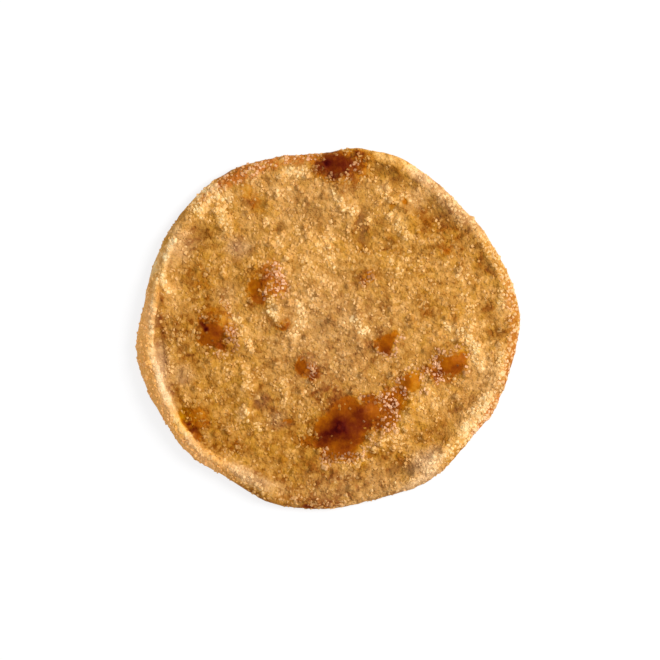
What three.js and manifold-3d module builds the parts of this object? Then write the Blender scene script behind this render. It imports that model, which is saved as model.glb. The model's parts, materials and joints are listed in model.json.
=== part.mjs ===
// An olive oil biscuit: a thin, crisp disc of dough, pressed out by hand, baked until its bubbles brown,
// and crusted with coarse sugar. Its edge is pinched up into a low rim, highest on the left.
// Lengths are in millimetres and +Z is up. The origin is under the middle of the disc, on the surface
// that the biscuit lies on. Angles are in degrees, anticlockwise from +X as seen from above.

import * as THREE from 'three';
import { ImprovedNoise } from 'three/addons/math/ImprovedNoise.js';
import { mergeVertices } from 'three/addons/utils/BufferGeometryUtils.js';
import Module from 'manifold-3d';

// The dough sheet.
const doughThickness = 3.0;
const edgeThickness = 2.1;
const edgeFall = 3.2; // width of the band over which the sheet thins to its edge
const tipOver = 0.35; // how far the edge's roundness pulls the uppermost ring inwards

// The outline's turning points, as angle and radius. It swells and dips smoothly from each to the next.
const outlineTurns = [
  [4, 50.1], [31, 48.1], [43, 47.1], [57, 47.6], [68, 48.4], [78, 47.9], [93, 45.8], [130, 48.8],
  [150, 48.6], [170, 48.3], [188, 50.3], [200, 49.7], [209, 48.8], [218, 48.9], [238, 46.9], [254, 47.9],
  [268, 47.1], [284, 46.2], [305, 47.6], [321, 47.0], [335, 48.3], [345, 48.6],
];
const crumbleDepth = 0.28; // small unevenness of the broken-looking edge
const crumbleLength = 2.6;

// The rim, as angle, height of its crest, and distance of the crest from the edge.
const rimTurns = [
  [0, 0.35, 2.4], [40, 0.5, 2.2], [70, 0.6, 2.8], [96, 0.1, 3.0], [125, 0.45, 3.3], [150, 1.1, 3.2],
  [176, 1.45, 3.8], [195, 1.5, 4.3], [210, 1.45, 2.7], [226, 1.3, 2.4], [242, 0.8, 3.2], [258, 0.4, 2.8],
  [280, 0.3, 2.8], [305, 0.6, 3.8], [335, 0.4, 3.4],
];
const rimInside = 1.3; // the crest drops steeply on its inner side
const rimOutside = 3.0; // and slopes gently to the edge
const gutterDepth = 0.4; // shallow trough that follows the rim on its inner side
const gutterInset = 3.2;
const gutterWidth = 2.2;

// How far the sheet curls off the surface at its edge, as angle and lift.
const curlTurns = [
  [15, 0.55], [62, 0.9], [95, 0.15], [140, 0.7], [196, 1.2], [240, 0.8], [268, 0.1], [300, 0.6], [340, 0.2],
];
const curlReach = 15; // width of the band that curls

// Bubbles in the dough: place, half-lengths, turn, and rise of the dome. Their tops brown first.
const bubbles = [
  { name: 'broad burnt bubble', at: [5.0, -24.2], half: [12.2, 6.4], turn: 33, rise: 1.5 },
  { name: 'amber swelling on it', at: [9.8, -20.7], half: [4.6, 4.2], turn: 20, rise: 0.8 },
  { name: 'burnt swelling on it', at: [1.4, -26.0], half: [5.0, 3.4], turn: 25, rise: 0.6 },
  { name: 'right bubble', at: [32.2, -8.4], half: [5.4, 4.6], turn: 10, rise: 1.35 },
  { name: 'small amber bubble', at: [21.4, -13.2], half: [3.2, 2.9], turn: 0, rise: 1.0 },
  { name: 'pea of amber below it', at: [19.6, -19.1], half: [2.3, 2.1], turn: 0, rise: 0.6 },
  { name: 'leaning bubble', at: [15.8, -3.6], half: [4.4, 3.0], turn: 55, rise: 1.1 },
  { name: 'middle bubble', at: [-6.2, -9.8], half: [3.1, 2.8], turn: 0, rise: 0.9 },
  { name: 'left bubble', at: [-29.8, -0.6], half: [5.8, 5.2], turn: 0, rise: 1.35 },
  { name: 'long bubble', at: [-16.4, 12.2], half: [6.4, 3.7], turn: 40, rise: 1.1 },
  { name: 'pip left of the middle', at: [-11.4, 1.7], half: [2.6, 2.4], turn: 0, rise: 0.55 },
  { name: 'pip above the middle', at: [10.9, 13.6], half: [2.6, 2.4], turn: 0, rise: 0.5 },
  { name: 'burnt swelling at the top', at: [1.6, 41.6], half: [10.0, 4.4], turn: 4, rise: 1.0 },
  { name: 'golden swelling', at: [30.0, 20.4], half: [5.6, 4.4], turn: 30, rise: 0.5 },
  { name: 'low swelling at the right', at: [28.6, 7.8], half: [6.0, 3.8], turn: -20, rise: 0.45 },
  { name: 'low swelling at the left', at: [-33.6, -23.8], half: [5.4, 3.6], turn: -50, rise: 0.5 },
  { name: 'swelling upper left', at: [-21.8, 34.6], half: [6.0, 4.0], turn: 25, rise: 0.5 },
];

// Long banks where sugar and dough have piled up: both ends, half-width and rise.
const banks = [
  { name: 'upper left bank', from: [-13.0, 37.0], to: [-13.8, 30.5], half: 2.6, rise: 0.5 },
  { name: 'upper middle bank', from: [2.6, 37.0], to: [6.6, 25.6], half: 2.5, rise: 0.75 },
  { name: 'bank by the upper hollow', from: [18.0, 33.0], to: [21.0, 25.0], half: 3.0, rise: 0.5 },
  { name: 'bank under the left rim', from: [-28.6, 31.0], to: [-25.6, 24.0], half: 2.3, rise: 0.6 },
  { name: 'bank beside the left bubble', from: [-25.2, -2.0], to: [-19.5, -7.0], half: 2.4, rise: 0.5 },
  { name: 'middle bank', from: [-14.6, 7.0], to: [-10.4, -1.6], half: 2.2, rise: 0.45 },
  { name: 'lower left bank', from: [-22.6, -10.0], to: [-19.6, -25.0], half: 2.3, rise: 0.6 },
  { name: 'low bank', from: [-12.0, -13.5], to: [-10.8, -18.5], half: 2.1, rise: 0.45 },
  { name: 'bank right of the middle', from: [8.6, 3.4], to: [7.6, -2.0], half: 2.0, rise: 0.5 },
  { name: 'curved bank, upper arm', from: [27.6, 2.4], to: [36.8, 1.2], half: 2.3, rise: 0.6 },
  { name: 'curved bank, lower arm', from: [36.8, 1.2], to: [39.4, -8.6], half: 2.3, rise: 0.65 },
  { name: 'bank beside the burnt bubble', from: [15.0, -29.0], to: [24.5, -17.5], half: 3.4, rise: 0.55 },
  { name: 'bank below the burnt bubble', from: [2.0, -33.0], to: [13.5, -31.0], half: 2.5, rise: 0.45 },
  { name: 'bank at the lower right edge', from: [22.4, -38.2], to: [32.0, -31.0], half: 2.6, rise: 0.6 },
];

// Hollows, where bare dough shows: place, half-lengths, turn and depth.
const hollows = [
  { name: 'upper middle hollow', at: [10.4, 26.6], half: [4.2, 6.2], turn: 12, depth: 0.7 },
  { name: 'upper right hollow', at: [27.0, 31.0], half: [8.0, 4.2], turn: -42, depth: 0.5 },
  { name: 'upper left hollow', at: [-33.0, 23.8], half: [4.6, 4.0], turn: 50, depth: 0.6 },
  { name: 'hollow beside it', at: [-21.6, 21.8], half: [5.2, 4.0], turn: 0, depth: 0.4 },
  { name: 'left hollow', at: [-36.0, 8.0], half: [5.6, 8.0], turn: 8, depth: 0.4 },
  { name: 'hollow under the left bubble', at: [-33.4, -11.0], half: [5.6, 6.0], turn: 0, depth: 0.4 },
  { name: 'lower left hollow', at: [-8.0, -27.6], half: [9.0, 4.6], turn: 18, depth: 0.4 },
  { name: 'hollow left of it', at: [-16.8, -14.2], half: [3.0, 5.0], turn: 0, depth: 0.35 },
  { name: 'lower right hollow', at: [19.0, -35.4], half: [6.0, 2.9], turn: 24, depth: 0.6 },
  { name: 'right hollow', at: [31.6, -25.4], half: [6.4, 3.6], turn: 50, depth: 0.5 },
  { name: 'middle hollow', at: [1.6, -1.6], half: [6.4, 5.0], turn: 30, depth: 0.3 },
  { name: 'right upper hollow', at: [17.0, 8.4], half: [7.0, 5.0], turn: 0, depth: 0.3 },
];

// Unevenness of the hand-pressed sheet, in layers: wavelength and height.
const unevenness = [
  { length: 17, height: 0.34 },
  { length: 7.2, height: 0.34 },
  { length: 3.4, height: 0.3 },
];

// Bubbles, banks and hollows all wander sideways from their plain shapes by this much.
const wanderReach = 1.7;
const wanderLength = 6.5;

// The underside, which stands on many flat patches with shallow hollows between them.
const underLength = 13;
const underDepth = 0.9;
const underBias = 0.12; // the larger it is, the more of the underside is flat
const restRadius = 9; // a flat patch under the middle

// The coarsest sugar crystals, baked into the crust.
const crystalCount = 118;
const crystalSize = { least: 0.95, most: 1.45 };
const crystalGap = 2.1;
const crystalLift = 0.22; // share of its size that a crystal's centre sits above the crust
const crystalSeed = 20417;

// Fineness of the surfaces, in rings of facets from the middle to the edge.
const topRings = 29;
const underRings = 14;
const facetsPerRing = 6; // ring k has this many times k corners

const bakedColour = 0xc88c46;
const bakedRoughness = 0.62;

const radians = THREE.MathUtils.degToRad;
const noise = new ImprovedNoise();

// Values that swing smoothly from each turning point to the next, round the whole circle.
function swing(turns, angle, column = 1) {
  const a = THREE.MathUtils.euclideanModulo(angle - turns[0][0], 360) + turns[0][0];
  const next = turns.findIndex((turn) => turn[0] > a);
  const after = next < 0 ? [turns[0][0] + 360, ...turns[0].slice(1)] : turns[next];
  const before = next < 0 ? turns[turns.length - 1] : turns[next - 1];
  const t = (a - before[0]) / (after[0] - before[0]);
  return THREE.MathUtils.lerp(before[column], after[column], (1 - Math.cos(Math.PI * t)) / 2);
}

function outlineRadius(angle) {
  return swing(outlineTurns, angle);
}

function crumble(angle) {
  const x = (Math.cos(radians(angle)) * outlineRadius(angle)) / crumbleLength;
  const y = (Math.sin(radians(angle)) * outlineRadius(angle)) / crumbleLength;
  return crumbleDepth * noise.noise(x, y, 3.7);
}

function wander(x, y) {
  const shift = (level) => wanderReach * noise.noise(x / wanderLength, y / wanderLength, level);
  return [x + shift(1.3), y + shift(8.6)];
}

// A dome of height 1 over a turned ellipse, level at its top and at its foot.
function dome(spot, x, y) {
  const c = Math.cos(radians(spot.turn));
  const s = Math.sin(radians(spot.turn));
  const [wx, wy] = wander(x, y);
  const dx = wx - spot.at[0];
  const dy = wy - spot.at[1];
  const across = Math.hypot((dx * c + dy * s) / spot.half[0], (dy * c - dx * s) / spot.half[1]);
  return 1 - THREE.MathUtils.smoothstep(across, 0.12, 1);
}

// A rounded bank of height 1 along the line between its two ends.
function bank(pile, x, y) {
  const [ax, ay] = pile.from;
  const [bx, by] = pile.to;
  const [wx, wy] = wander(x, y);
  const along = ((wx - ax) * (bx - ax) + (wy - ay) * (by - ay)) / ((bx - ax) ** 2 + (by - ay) ** 2);
  const t = THREE.MathUtils.clamp(along, 0, 1);
  const away = Math.hypot(wx - ax - t * (bx - ax), wy - ay - t * (by - ay)) / pile.half;
  return 1 - THREE.MathUtils.smoothstep(away, 0.1, 1);
}

// The rim's height over the sheet. Its crest is a fixed way in from the edge.
function rimRise(angle, inset) {
  const height = swing(rimTurns, angle, 1);
  const crest = swing(rimTurns, angle, 2);
  const width = inset > crest ? rimInside : rimOutside;
  const gutter = Math.exp(-(((inset - crest - gutterInset) / gutterWidth) ** 2));
  return height * (Math.exp(-(((inset - crest) / width) ** 2)) - gutterDepth * gutter);
}

function curl(angle, inset) {
  return swing(curlTurns, angle) * (1 - THREE.MathUtils.smoothstep(inset, 0, curlReach));
}

function polar(x, y) {
  const angle = THREE.MathUtils.radToDeg(Math.atan2(y, x));
  return { angle, inset: outlineRadius(angle) - Math.hypot(x, y) };
}

function topHeight(x, y) {
  const { angle, inset } = polar(x, y);
  const inner = THREE.MathUtils.smoothstep(inset, 0, edgeFall);
  let z = THREE.MathUtils.lerp(edgeThickness, doughThickness, inner) + curl(angle, inset);
  z += rimRise(angle, inset);
  for (const bubble of bubbles) z += bubble.rise * dome(bubble, x, y);
  for (const pile of banks) z += pile.rise * bank(pile, x, y);
  for (const hollow of hollows) z -= hollow.depth * dome(hollow, x, y);
  for (const { length, height } of unevenness) z += height * noise.noise(x / length, y / length, length);
  return z;
}

function underHeight(x, y) {
  const { angle, inset } = polar(x, y);
  const waves = noise.noise(x / underLength, y / underLength, 5.3);
  const middle = THREE.MathUtils.smoothstep(Math.hypot(x, y), restRadius, restRadius + 6);
  return Math.max(0, curl(angle, inset) * 0.9 - underBias, middle * underDepth * (waves - underBias));
}

// A mesh's corners and facets, as they are being laid.
function sheetBuilder() {
  const corners = [];
  const facets = [];
  const ring = (count, place) =>
    Array.from({ length: count }, (_, i) => {
      corners.push(...place((360 * i) / count));
      return corners.length / 3 - 1;
    });
  // Joins an outer ring to an inner one, stepping along whichever is behind.
  const stitch = (outer, inner, facingUp) => {
    let i = 0;
    let j = 0;
    while (i < outer.length || (j < inner.length && inner.length > 1)) {
      const a = outer[i % outer.length];
      const b = inner[j % inner.length];
      const outerNext = (i + 1) / outer.length;
      const innerNext = inner.length > 1 ? (j + 1) / inner.length : Infinity;
      const stepOuter = i < outer.length && outerNext <= innerNext;
      const c = stepOuter ? outer[(i + 1) % outer.length] : inner[(j + 1) % inner.length];
      facets.push(...(facingUp ? [a, c, b] : [a, b, c]));
      if (stepOuter) i += 1;
      else j += 1;
    }
  };
  return { corners, facets, ring, stitch };
}

// The rings of one face, from its edge in to its middle point.
function layFace(sheet, rings, edgeRing, edgeInset, height, facingUp) {
  let outer = edgeRing;
  for (let k = rings - 1; k >= 0; k -= 1) {
    const place = (angle) => {
      const r = ((outlineRadius(angle) - edgeInset) * k) / rings;
      const x = r * Math.cos(radians(angle));
      const y = r * Math.sin(radians(angle));
      return [x, y, height(x, y)];
    };
    const inner = sheet.ring(Math.max(1, facetsPerRing * k), place);
    sheet.stitch(outer, inner, facingUp);
    outer = inner;
  }
}

function doughGeometry() {
  const sheet = sheetBuilder();
  const count = facetsPerRing * topRings;
  // Each ring of the rounded edge: how far in it lies, and its height between underside and top.
  const edgeRings = [
    { inset: tipOver + 0.75, share: 1 },
    { inset: tipOver * 0.5, share: 0.72 },
    { inset: 0, share: 0.42 },
    { inset: tipOver, share: 0.14 },
    { inset: tipOver + 0.85, share: 0 },
  ].map(({ inset, share }) =>
    sheet.ring(count, (angle) => {
      const r = outlineRadius(angle) + crumble(angle) - inset;
      const x = r * Math.cos(radians(angle));
      const y = r * Math.sin(radians(angle));
      return [x, y, THREE.MathUtils.lerp(underHeight(x, y), topHeight(x, y), share)];
    }),
  );
  layFace(sheet, topRings, edgeRings[0], tipOver + 0.75, topHeight, true);
  for (let k = 1; k < edgeRings.length; k += 1) sheet.stitch(edgeRings[k], edgeRings[k - 1], true);
  layFace(sheet, underRings, edgeRings[edgeRings.length - 1], tipOver + 0.85, underHeight, false);
  const geometry = new THREE.BufferGeometry();
  geometry.setAttribute('position', new THREE.Float32BufferAttribute(sheet.corners, 3));
  geometry.setIndex(sheet.facets);
  return geometry;
}

// Numbers from 0 to 1, the same on every run.
function seededDraws(seed) {
  let state = seed;
  return () => {
    state = (state * 1664525 + 1013904223) % 4294967296;
    return state / 4294967296;
  };
}

// How likely sugar is to have stuck at a place: most on the banks and least on burnt or bare dough.
function sugarShare(x, y) {
  const most = (spots, shape) => Math.max(...spots.map((spot) => shape(spot, x, y)));
  return 0.3 + 0.7 * most(banks, bank) - 0.6 * most(hollows, dome) - 1.1 * most(bubbles, dome);
}

function crystalPlaces(draw) {
  const places = [];
  while (places.length < crystalCount) {
    const angle = 360 * draw();
    const r = (outlineRadius(angle) - 2) * Math.sqrt(draw());
    const x = r * Math.cos(radians(angle));
    const y = r * Math.sin(radians(angle));
    const crowded = places.some(([px, py]) => Math.hypot(px - x, py - y) < crystalGap);
    if (draw() < sugarShare(x, y) && !crowded) places.push([x, y]);
  }
  return places;
}

// A blocky crystal, tilted any way, with its lower half sunk in the crust.
function crystalGeometry([x, y], draw) {
  const size = THREE.MathUtils.lerp(crystalSize.least, crystalSize.most, draw());
  const geometry = new THREE.BoxGeometry(size, size * (0.7 + 0.3 * draw()), size * (0.75 + 0.5 * draw()));
  geometry.rotateX(Math.PI * draw());
  geometry.rotateZ(Math.PI * draw());
  geometry.translate(x, y, topHeight(x, y) + crystalLift * size);
  return geometry;
}

const wasm = await Module();
wasm.setup();

function toSolid(geometry) {
  const bare = geometry.clone();
  bare.deleteAttribute('normal');
  bare.deleteAttribute('uv');
  const merged = mergeVertices(bare, 1e-4);
  const vertProperties = merged.attributes.position.array;
  return new wasm.Manifold(
    new wasm.Mesh({ numProp: 3, vertProperties, triVerts: new Uint32Array(merged.index.array) }),
  );
}

function toGeometry(solid) {
  const { vertProperties, triVerts } = solid.getMesh();
  const geometry = new THREE.BufferGeometry();
  geometry.setAttribute('position', new THREE.BufferAttribute(vertProperties, 3));
  geometry.setIndex(new THREE.BufferAttribute(triVerts, 1));
  geometry.computeVertexNormals();
  return geometry;
}

function makeBiscuit() {
  const draw = seededDraws(crystalSeed);
  const crystals = crystalPlaces(draw).map((place) => toSolid(crystalGeometry(place, draw)));
  const solid = crystals.reduce((whole, crystal) => whole.add(crystal), toSolid(doughGeometry()));
  const baked = new THREE.MeshStandardMaterial({
    color: bakedColour,
    roughness: bakedRoughness,
    metalness: 0,
  });
  const biscuit = new THREE.Mesh(toGeometry(solid), baked);
  biscuit.name = 'biscuit';
  return biscuit;
}

const olive_oil_biscuit = new THREE.Group();
olive_oil_biscuit.add(makeBiscuit());

export default olive_oil_biscuit;
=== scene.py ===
import json
import math

import bpy
import numpy as np
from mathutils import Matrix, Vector, noise

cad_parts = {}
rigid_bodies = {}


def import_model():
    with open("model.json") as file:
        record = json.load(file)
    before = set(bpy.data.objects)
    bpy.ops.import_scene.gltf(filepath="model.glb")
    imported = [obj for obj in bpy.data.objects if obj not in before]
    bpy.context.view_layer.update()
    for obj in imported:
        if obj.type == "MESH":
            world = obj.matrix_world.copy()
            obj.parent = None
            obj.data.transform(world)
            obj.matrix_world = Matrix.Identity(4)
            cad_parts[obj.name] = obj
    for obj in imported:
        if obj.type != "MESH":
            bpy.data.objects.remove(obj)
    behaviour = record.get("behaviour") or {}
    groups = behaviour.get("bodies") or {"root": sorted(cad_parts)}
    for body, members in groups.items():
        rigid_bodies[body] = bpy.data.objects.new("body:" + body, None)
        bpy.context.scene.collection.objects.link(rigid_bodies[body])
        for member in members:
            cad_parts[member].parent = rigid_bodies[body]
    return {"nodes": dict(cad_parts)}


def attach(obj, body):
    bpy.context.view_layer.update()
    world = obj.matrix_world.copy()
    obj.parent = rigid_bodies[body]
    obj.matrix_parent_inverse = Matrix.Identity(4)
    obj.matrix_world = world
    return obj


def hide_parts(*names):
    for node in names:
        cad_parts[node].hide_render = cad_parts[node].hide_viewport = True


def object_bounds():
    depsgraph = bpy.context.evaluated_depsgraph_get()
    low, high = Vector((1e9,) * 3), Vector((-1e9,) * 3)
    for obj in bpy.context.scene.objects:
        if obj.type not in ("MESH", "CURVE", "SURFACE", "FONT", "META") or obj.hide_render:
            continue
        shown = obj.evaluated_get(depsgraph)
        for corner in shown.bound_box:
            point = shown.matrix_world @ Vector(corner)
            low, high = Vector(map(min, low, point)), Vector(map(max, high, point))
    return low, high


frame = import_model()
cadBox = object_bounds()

mm = 0.001
noise.seed_set(6)  # else the noise that patches stray by differs from run to run

# Everything below is in millimetres as seen from above, +X right and +Y up, until it goes into the mesh.


def patch(x, y, long, wide, amount=0.6, turn=0, core=0.1, glaze=1):
    # A turned ellipse: its middle, half lengths, strength, turn, and how far out it is at full strength
    return {"at": (x, y), "half": (long, wide), "amount": amount, "turn": turn, "core": core, "glaze": glaze}


def streak(x, y, toX, toY, half, amount=0.6):
    # A line from one place to another, with its half-width and strength
    return {"ends": ((x, y), (toX, toY)), "half": half, "amount": amount}


# Caramelised places, where a bubble's top or the edge has browned.
# amount: 0.5 is honey, 0.6 amber, 0.75 red-brown, 1 nearly black. glaze: how well it keeps sugar off, or 1
burns = {
    "broadHalo": patch(5, -26.2, 11.4, 8, 0.54, turn=33, core=0.3, glaze=0.05),
    "broadBubble": patch(4.2, -25, 9.8, 6.8, 0.76, turn=35, core=0.5),
    "broadAmber": patch(11.6, -21.2, 3, 3.6, 0.64, core=0.4),
    "broadLeftFlank": patch(-0.8, -25.2, 3.2, 4.8, 0.66, turn=-38, core=0.3),
    "broadDome": patch(8.2, -21.8, 2.4, 3, 0.86, turn=-10, core=0.2),
    "broadBand": patch(4.2, -26.2, 7, 3.6, 0.87, turn=18, core=0.2),
    "broadBandRight": patch(9.4, -24.8, 3.6, 2.4, 0.86, turn=10),
    "darkest": patch(3, -26, 3, 3.5, 0.97, turn=-28),
    "darkestTail": patch(-0.8, -27.4, 3.2, 2, 0.93, turn=35),
    "darkestTop": patch(2.4, -24, 2, 2, 0.9),
    "darkestRight": patch(4.8, -28.2, 2.4, 1.4, 0.93, turn=-30),
    "footAmber": patch(4.4, -31, 4.8, 2.4, 0.78, turn=8, core=0.3),
    "footDark": patch(-1.6, -29.8, 4.2, 2, 0.83, turn=12),
    "footTail": patch(-5.2, -29.2, 3.8, 2, 0.66, turn=8, glaze=0.4),
    "lowerLip": patch(0.2, -32.8, 3.8, 2.4, 0.7, turn=-25, core=0.2, glaze=0.5),
    "lowerLipRight": patch(4.6, -33.4, 4.4, 2, 0.68, core=0.2, glaze=0.4),
    "topFringe": patch(11.4, -18.2, 3.8, 2.3, 0.78, turn=-14, glaze=0.7),
    "topFringeLeft": patch(4.6, -19, 5.4, 1.8, 0.7, turn=12, core=0.2, glaze=0.8),
    "broadFoot": patch(7.4, -29, 3, 2, 0.83, turn=10, core=0.2),
    "shoulder": patch(13.4, -24.4, 3, 3.2, 0.79, core=0.2, glaze=0.6),
    "shoulderGaps": patch(16, -20.6, 3.6, 6, 0.74, turn=8, core=0.4, glaze=0.5),
    "smallAmber": patch(22, -13.8, 2.9, 3.2, 0.55, core=0.5),
    "smallAmberDark": patch(20.4, -13.6, 1.7, 2.8, 0.7, core=0.2),
    "smallAmberSpeckle": patch(18.8, -14.6, 2.2, 2.8, 0.72, core=0.2, glaze=0.5),
    "belowSmallAmber": patch(18.8, -16.6, 2.8, 2, 0.7, core=0.2, glaze=0.7),
    "peaOfAmber": patch(19.4, -19.4, 1.9, 2.6, 0.54, core=0.4),
    "rightHalo": patch(31.4, -9.8, 6.8, 5.2, turn=10, core=0.3, glaze=0.1),
    "rightBubble": patch(32.2, -9.2, 4, 3.4, 0.7, turn=-10, core=0.5),
    "rightBubbleLow": patch(33, -10.4, 2.6, 1.9, 0.78),
    "rightBubbleSide": patch(35.2, -8, 2, 2.6, 0.66, core=0.2),
    "besideRightBubble": patch(29.2, -11.6, 3.2, 2.4, 0.79, turn=10, core=0.2, glaze=0.5),
    "rightSpeck": patch(28.4, -7.6, 1.2, 1.2, 0.74, glaze=0.6),
    "betweenAmbers": patch(25, -11, 2.6, 1.6, 0.68, glaze=0.4),
    "leaningBubble": patch(15.3, -4, 2.5, 3.6, 0.71, turn=-28, core=0.4),
    "leaningFoot": patch(15.4, -6.4, 2.4, 1.5, 0.8, glaze=0.5),
    "leaningTip": patch(17.6, -1.4, 1.8, 1.4, 0.62, turn=30, core=0.2),
    "leaningSide": patch(13, -3.6, 1.8, 1.8, 0.64, glaze=0.6),
    "middleBubble": patch(-7, -9.8, 2.2, 2.9, 0.75, turn=14, core=0.3),
    "middleTail": patch(-4.4, -11.2, 2.8, 2.8, 0.74, glaze=0.4),
    "middleFoot": patch(-4.6, -12.2, 3.2, 1.5, 0.8, glaze=0.5),
    "leftHalo": patch(-29.8, 0.2, 6, 6.6, 0.53, turn=-30, core=0.2, glaze=0.1),
    "leftBubble": patch(-30.6, -1.6, 3.4, 4.4, 0.71, turn=-30, core=0.4),
    "leftBubbleRed": patch(-28.6, -0.8, 2.8, 3, 0.8, core=0.2),
    "leftBubbleFoot": patch(-28.6, -4.6, 2.8, 1.6, 0.8, turn=-14),
    "leftBubbleSide": patch(-32.4, -3, 2.2, 2.8, 0.7, core=0.2, glaze=0.6),
    "leftBubblePoint": patch(-31.6, -0.4, 1, 1.1, 0.99, core=0.2),
    "leftBubblePointTop": patch(-32.5, 0.9, 1.5, 0.9, 0.88, turn=-40),
    "aboveLeftBubble": patch(-29.8, 4.4, 3.2, 1.6, 0.58, turn=-8, glaze=0.3),
    "rightOfLeftBubble": patch(-26.8, 1.4, 1.2, 3, 0.55, turn=10, glaze=0.3),
    "besideLeftBubble": patch(-33.2, 2, 1.8, 2, 0.66, glaze=0.3),
    "longHalo": patch(-17.4, 11, 6.6, 5.4, turn=45, core=0.2, glaze=0.3),
    "longBubble": patch(-18.9, 10.8, 2.8, 2.5, 0.67, turn=50, core=0.4),
    "longBubbleDark": patch(-16.6, 12.4, 1.5, 3.2, 0.84, turn=-24, glaze=0.4),
    "longBubbleFoot": patch(-18, 7.8, 2.8, 1.6, 0.74, turn=-16, glaze=0.8),
    "longBubbleTip": patch(-14, 12.8, 3.2, 3.8, 0.72, core=0.2, glaze=0.1),
    "pipLeftOfMiddle": patch(-12, 1.2, 2.6, 2.2, 0.5, core=0.2, glaze=0.3),
    "pipLeftOfMiddleFoot": patch(-11.4, -0.2, 1.3, 0.9, 0.68, glaze=0.7),
    "pipAboveMiddle": patch(10.6, 13, 2.4, 2.6, 0.58, glaze=0.5),
    "topHalo": patch(3.2, 41.8, 10.6, 5.8, 0.62, core=0.3, glaze=0.3),
    "topBurn": patch(2.2, 43, 5.4, 4.1, 0.89, turn=-8, core=0.3),
    "topBurnDarkest": patch(-0.4, 43.2, 2.2, 1.6, 0.97),
    "topBurnFoot": patch(2.6, 40, 4.6, 2.2, 0.88, glaze=0.5),
    "topBurnRight": patch(6.6, 42.4, 4.2, 3, 0.8, glaze=0.6),
    "topBurnLeft": patch(-2.6, 42, 3, 2.6, 0.84, glaze=0.4),
    "topBurnRim": patch(8.4, 45.2, 4.8, 2.2, 0.76, turn=-10, core=0.2, glaze=0.3),
    "topBurnEdge": patch(-4, 44.8, 4, 1.4, turn=4, glaze=0.3),
    "goldPip": patch(16.6, 31.6, 1.6, 1.3, 0.52),
    "orangePip": patch(20, 33.2, 1.4, 1.2),
    "stainPip": patch(30.6, 19.8, 2.2, 1.6, 0.54, glaze=0.6),
    "upperLeftHoney": patch(-21, 35.8, 2.2, 3, 0.5, core=0.2, glaze=0.7),
    "upperLeftHoneyLow": patch(-18, 32.6, 3, 3.8, 0.47, turn=20, glaze=0.5),
    "upperLeftHoneyPip": patch(-24.2, 33.4, 1.6, 1.8, 0.46, glaze=0.6),
    "leftHoney": patch(-33, 11.4, 3.4, 1.8, 0.46, turn=-10, glaze=0.3),
    "rightHoney": patch(34.8, 4.8, 3, 2.2, 0.46, glaze=0.5),
    "lowHoney": patch(11.4, -32.6, 2.2, 1.6, 0.5, glaze=0.6),
    "lowerLeftStain": patch(-33.6, -23.4, 3.4, 4, 0.58, turn=20, core=0.2, glaze=0.6),
    "lowerLeftStainFoot": patch(-34, -27.8, 1.8, 2.2, 0.66, turn=30, glaze=0.7),
    "lowerLeftGutter": patch(-36.8, -25.2, 0.9, 2.6, 0.56, turn=32, glaze=0.8),
    "lowPip": patch(-10.4, -24, 2.6, 1.2, 0.52),
    "lowerEdgeDark": patch(-5.4, -46.4, 2.4, 0.8, 0.86),
    "lowerEdgeDarkRight": patch(-0.6, -46.4, 2.2, 0.8, 0.66),
}

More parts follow.
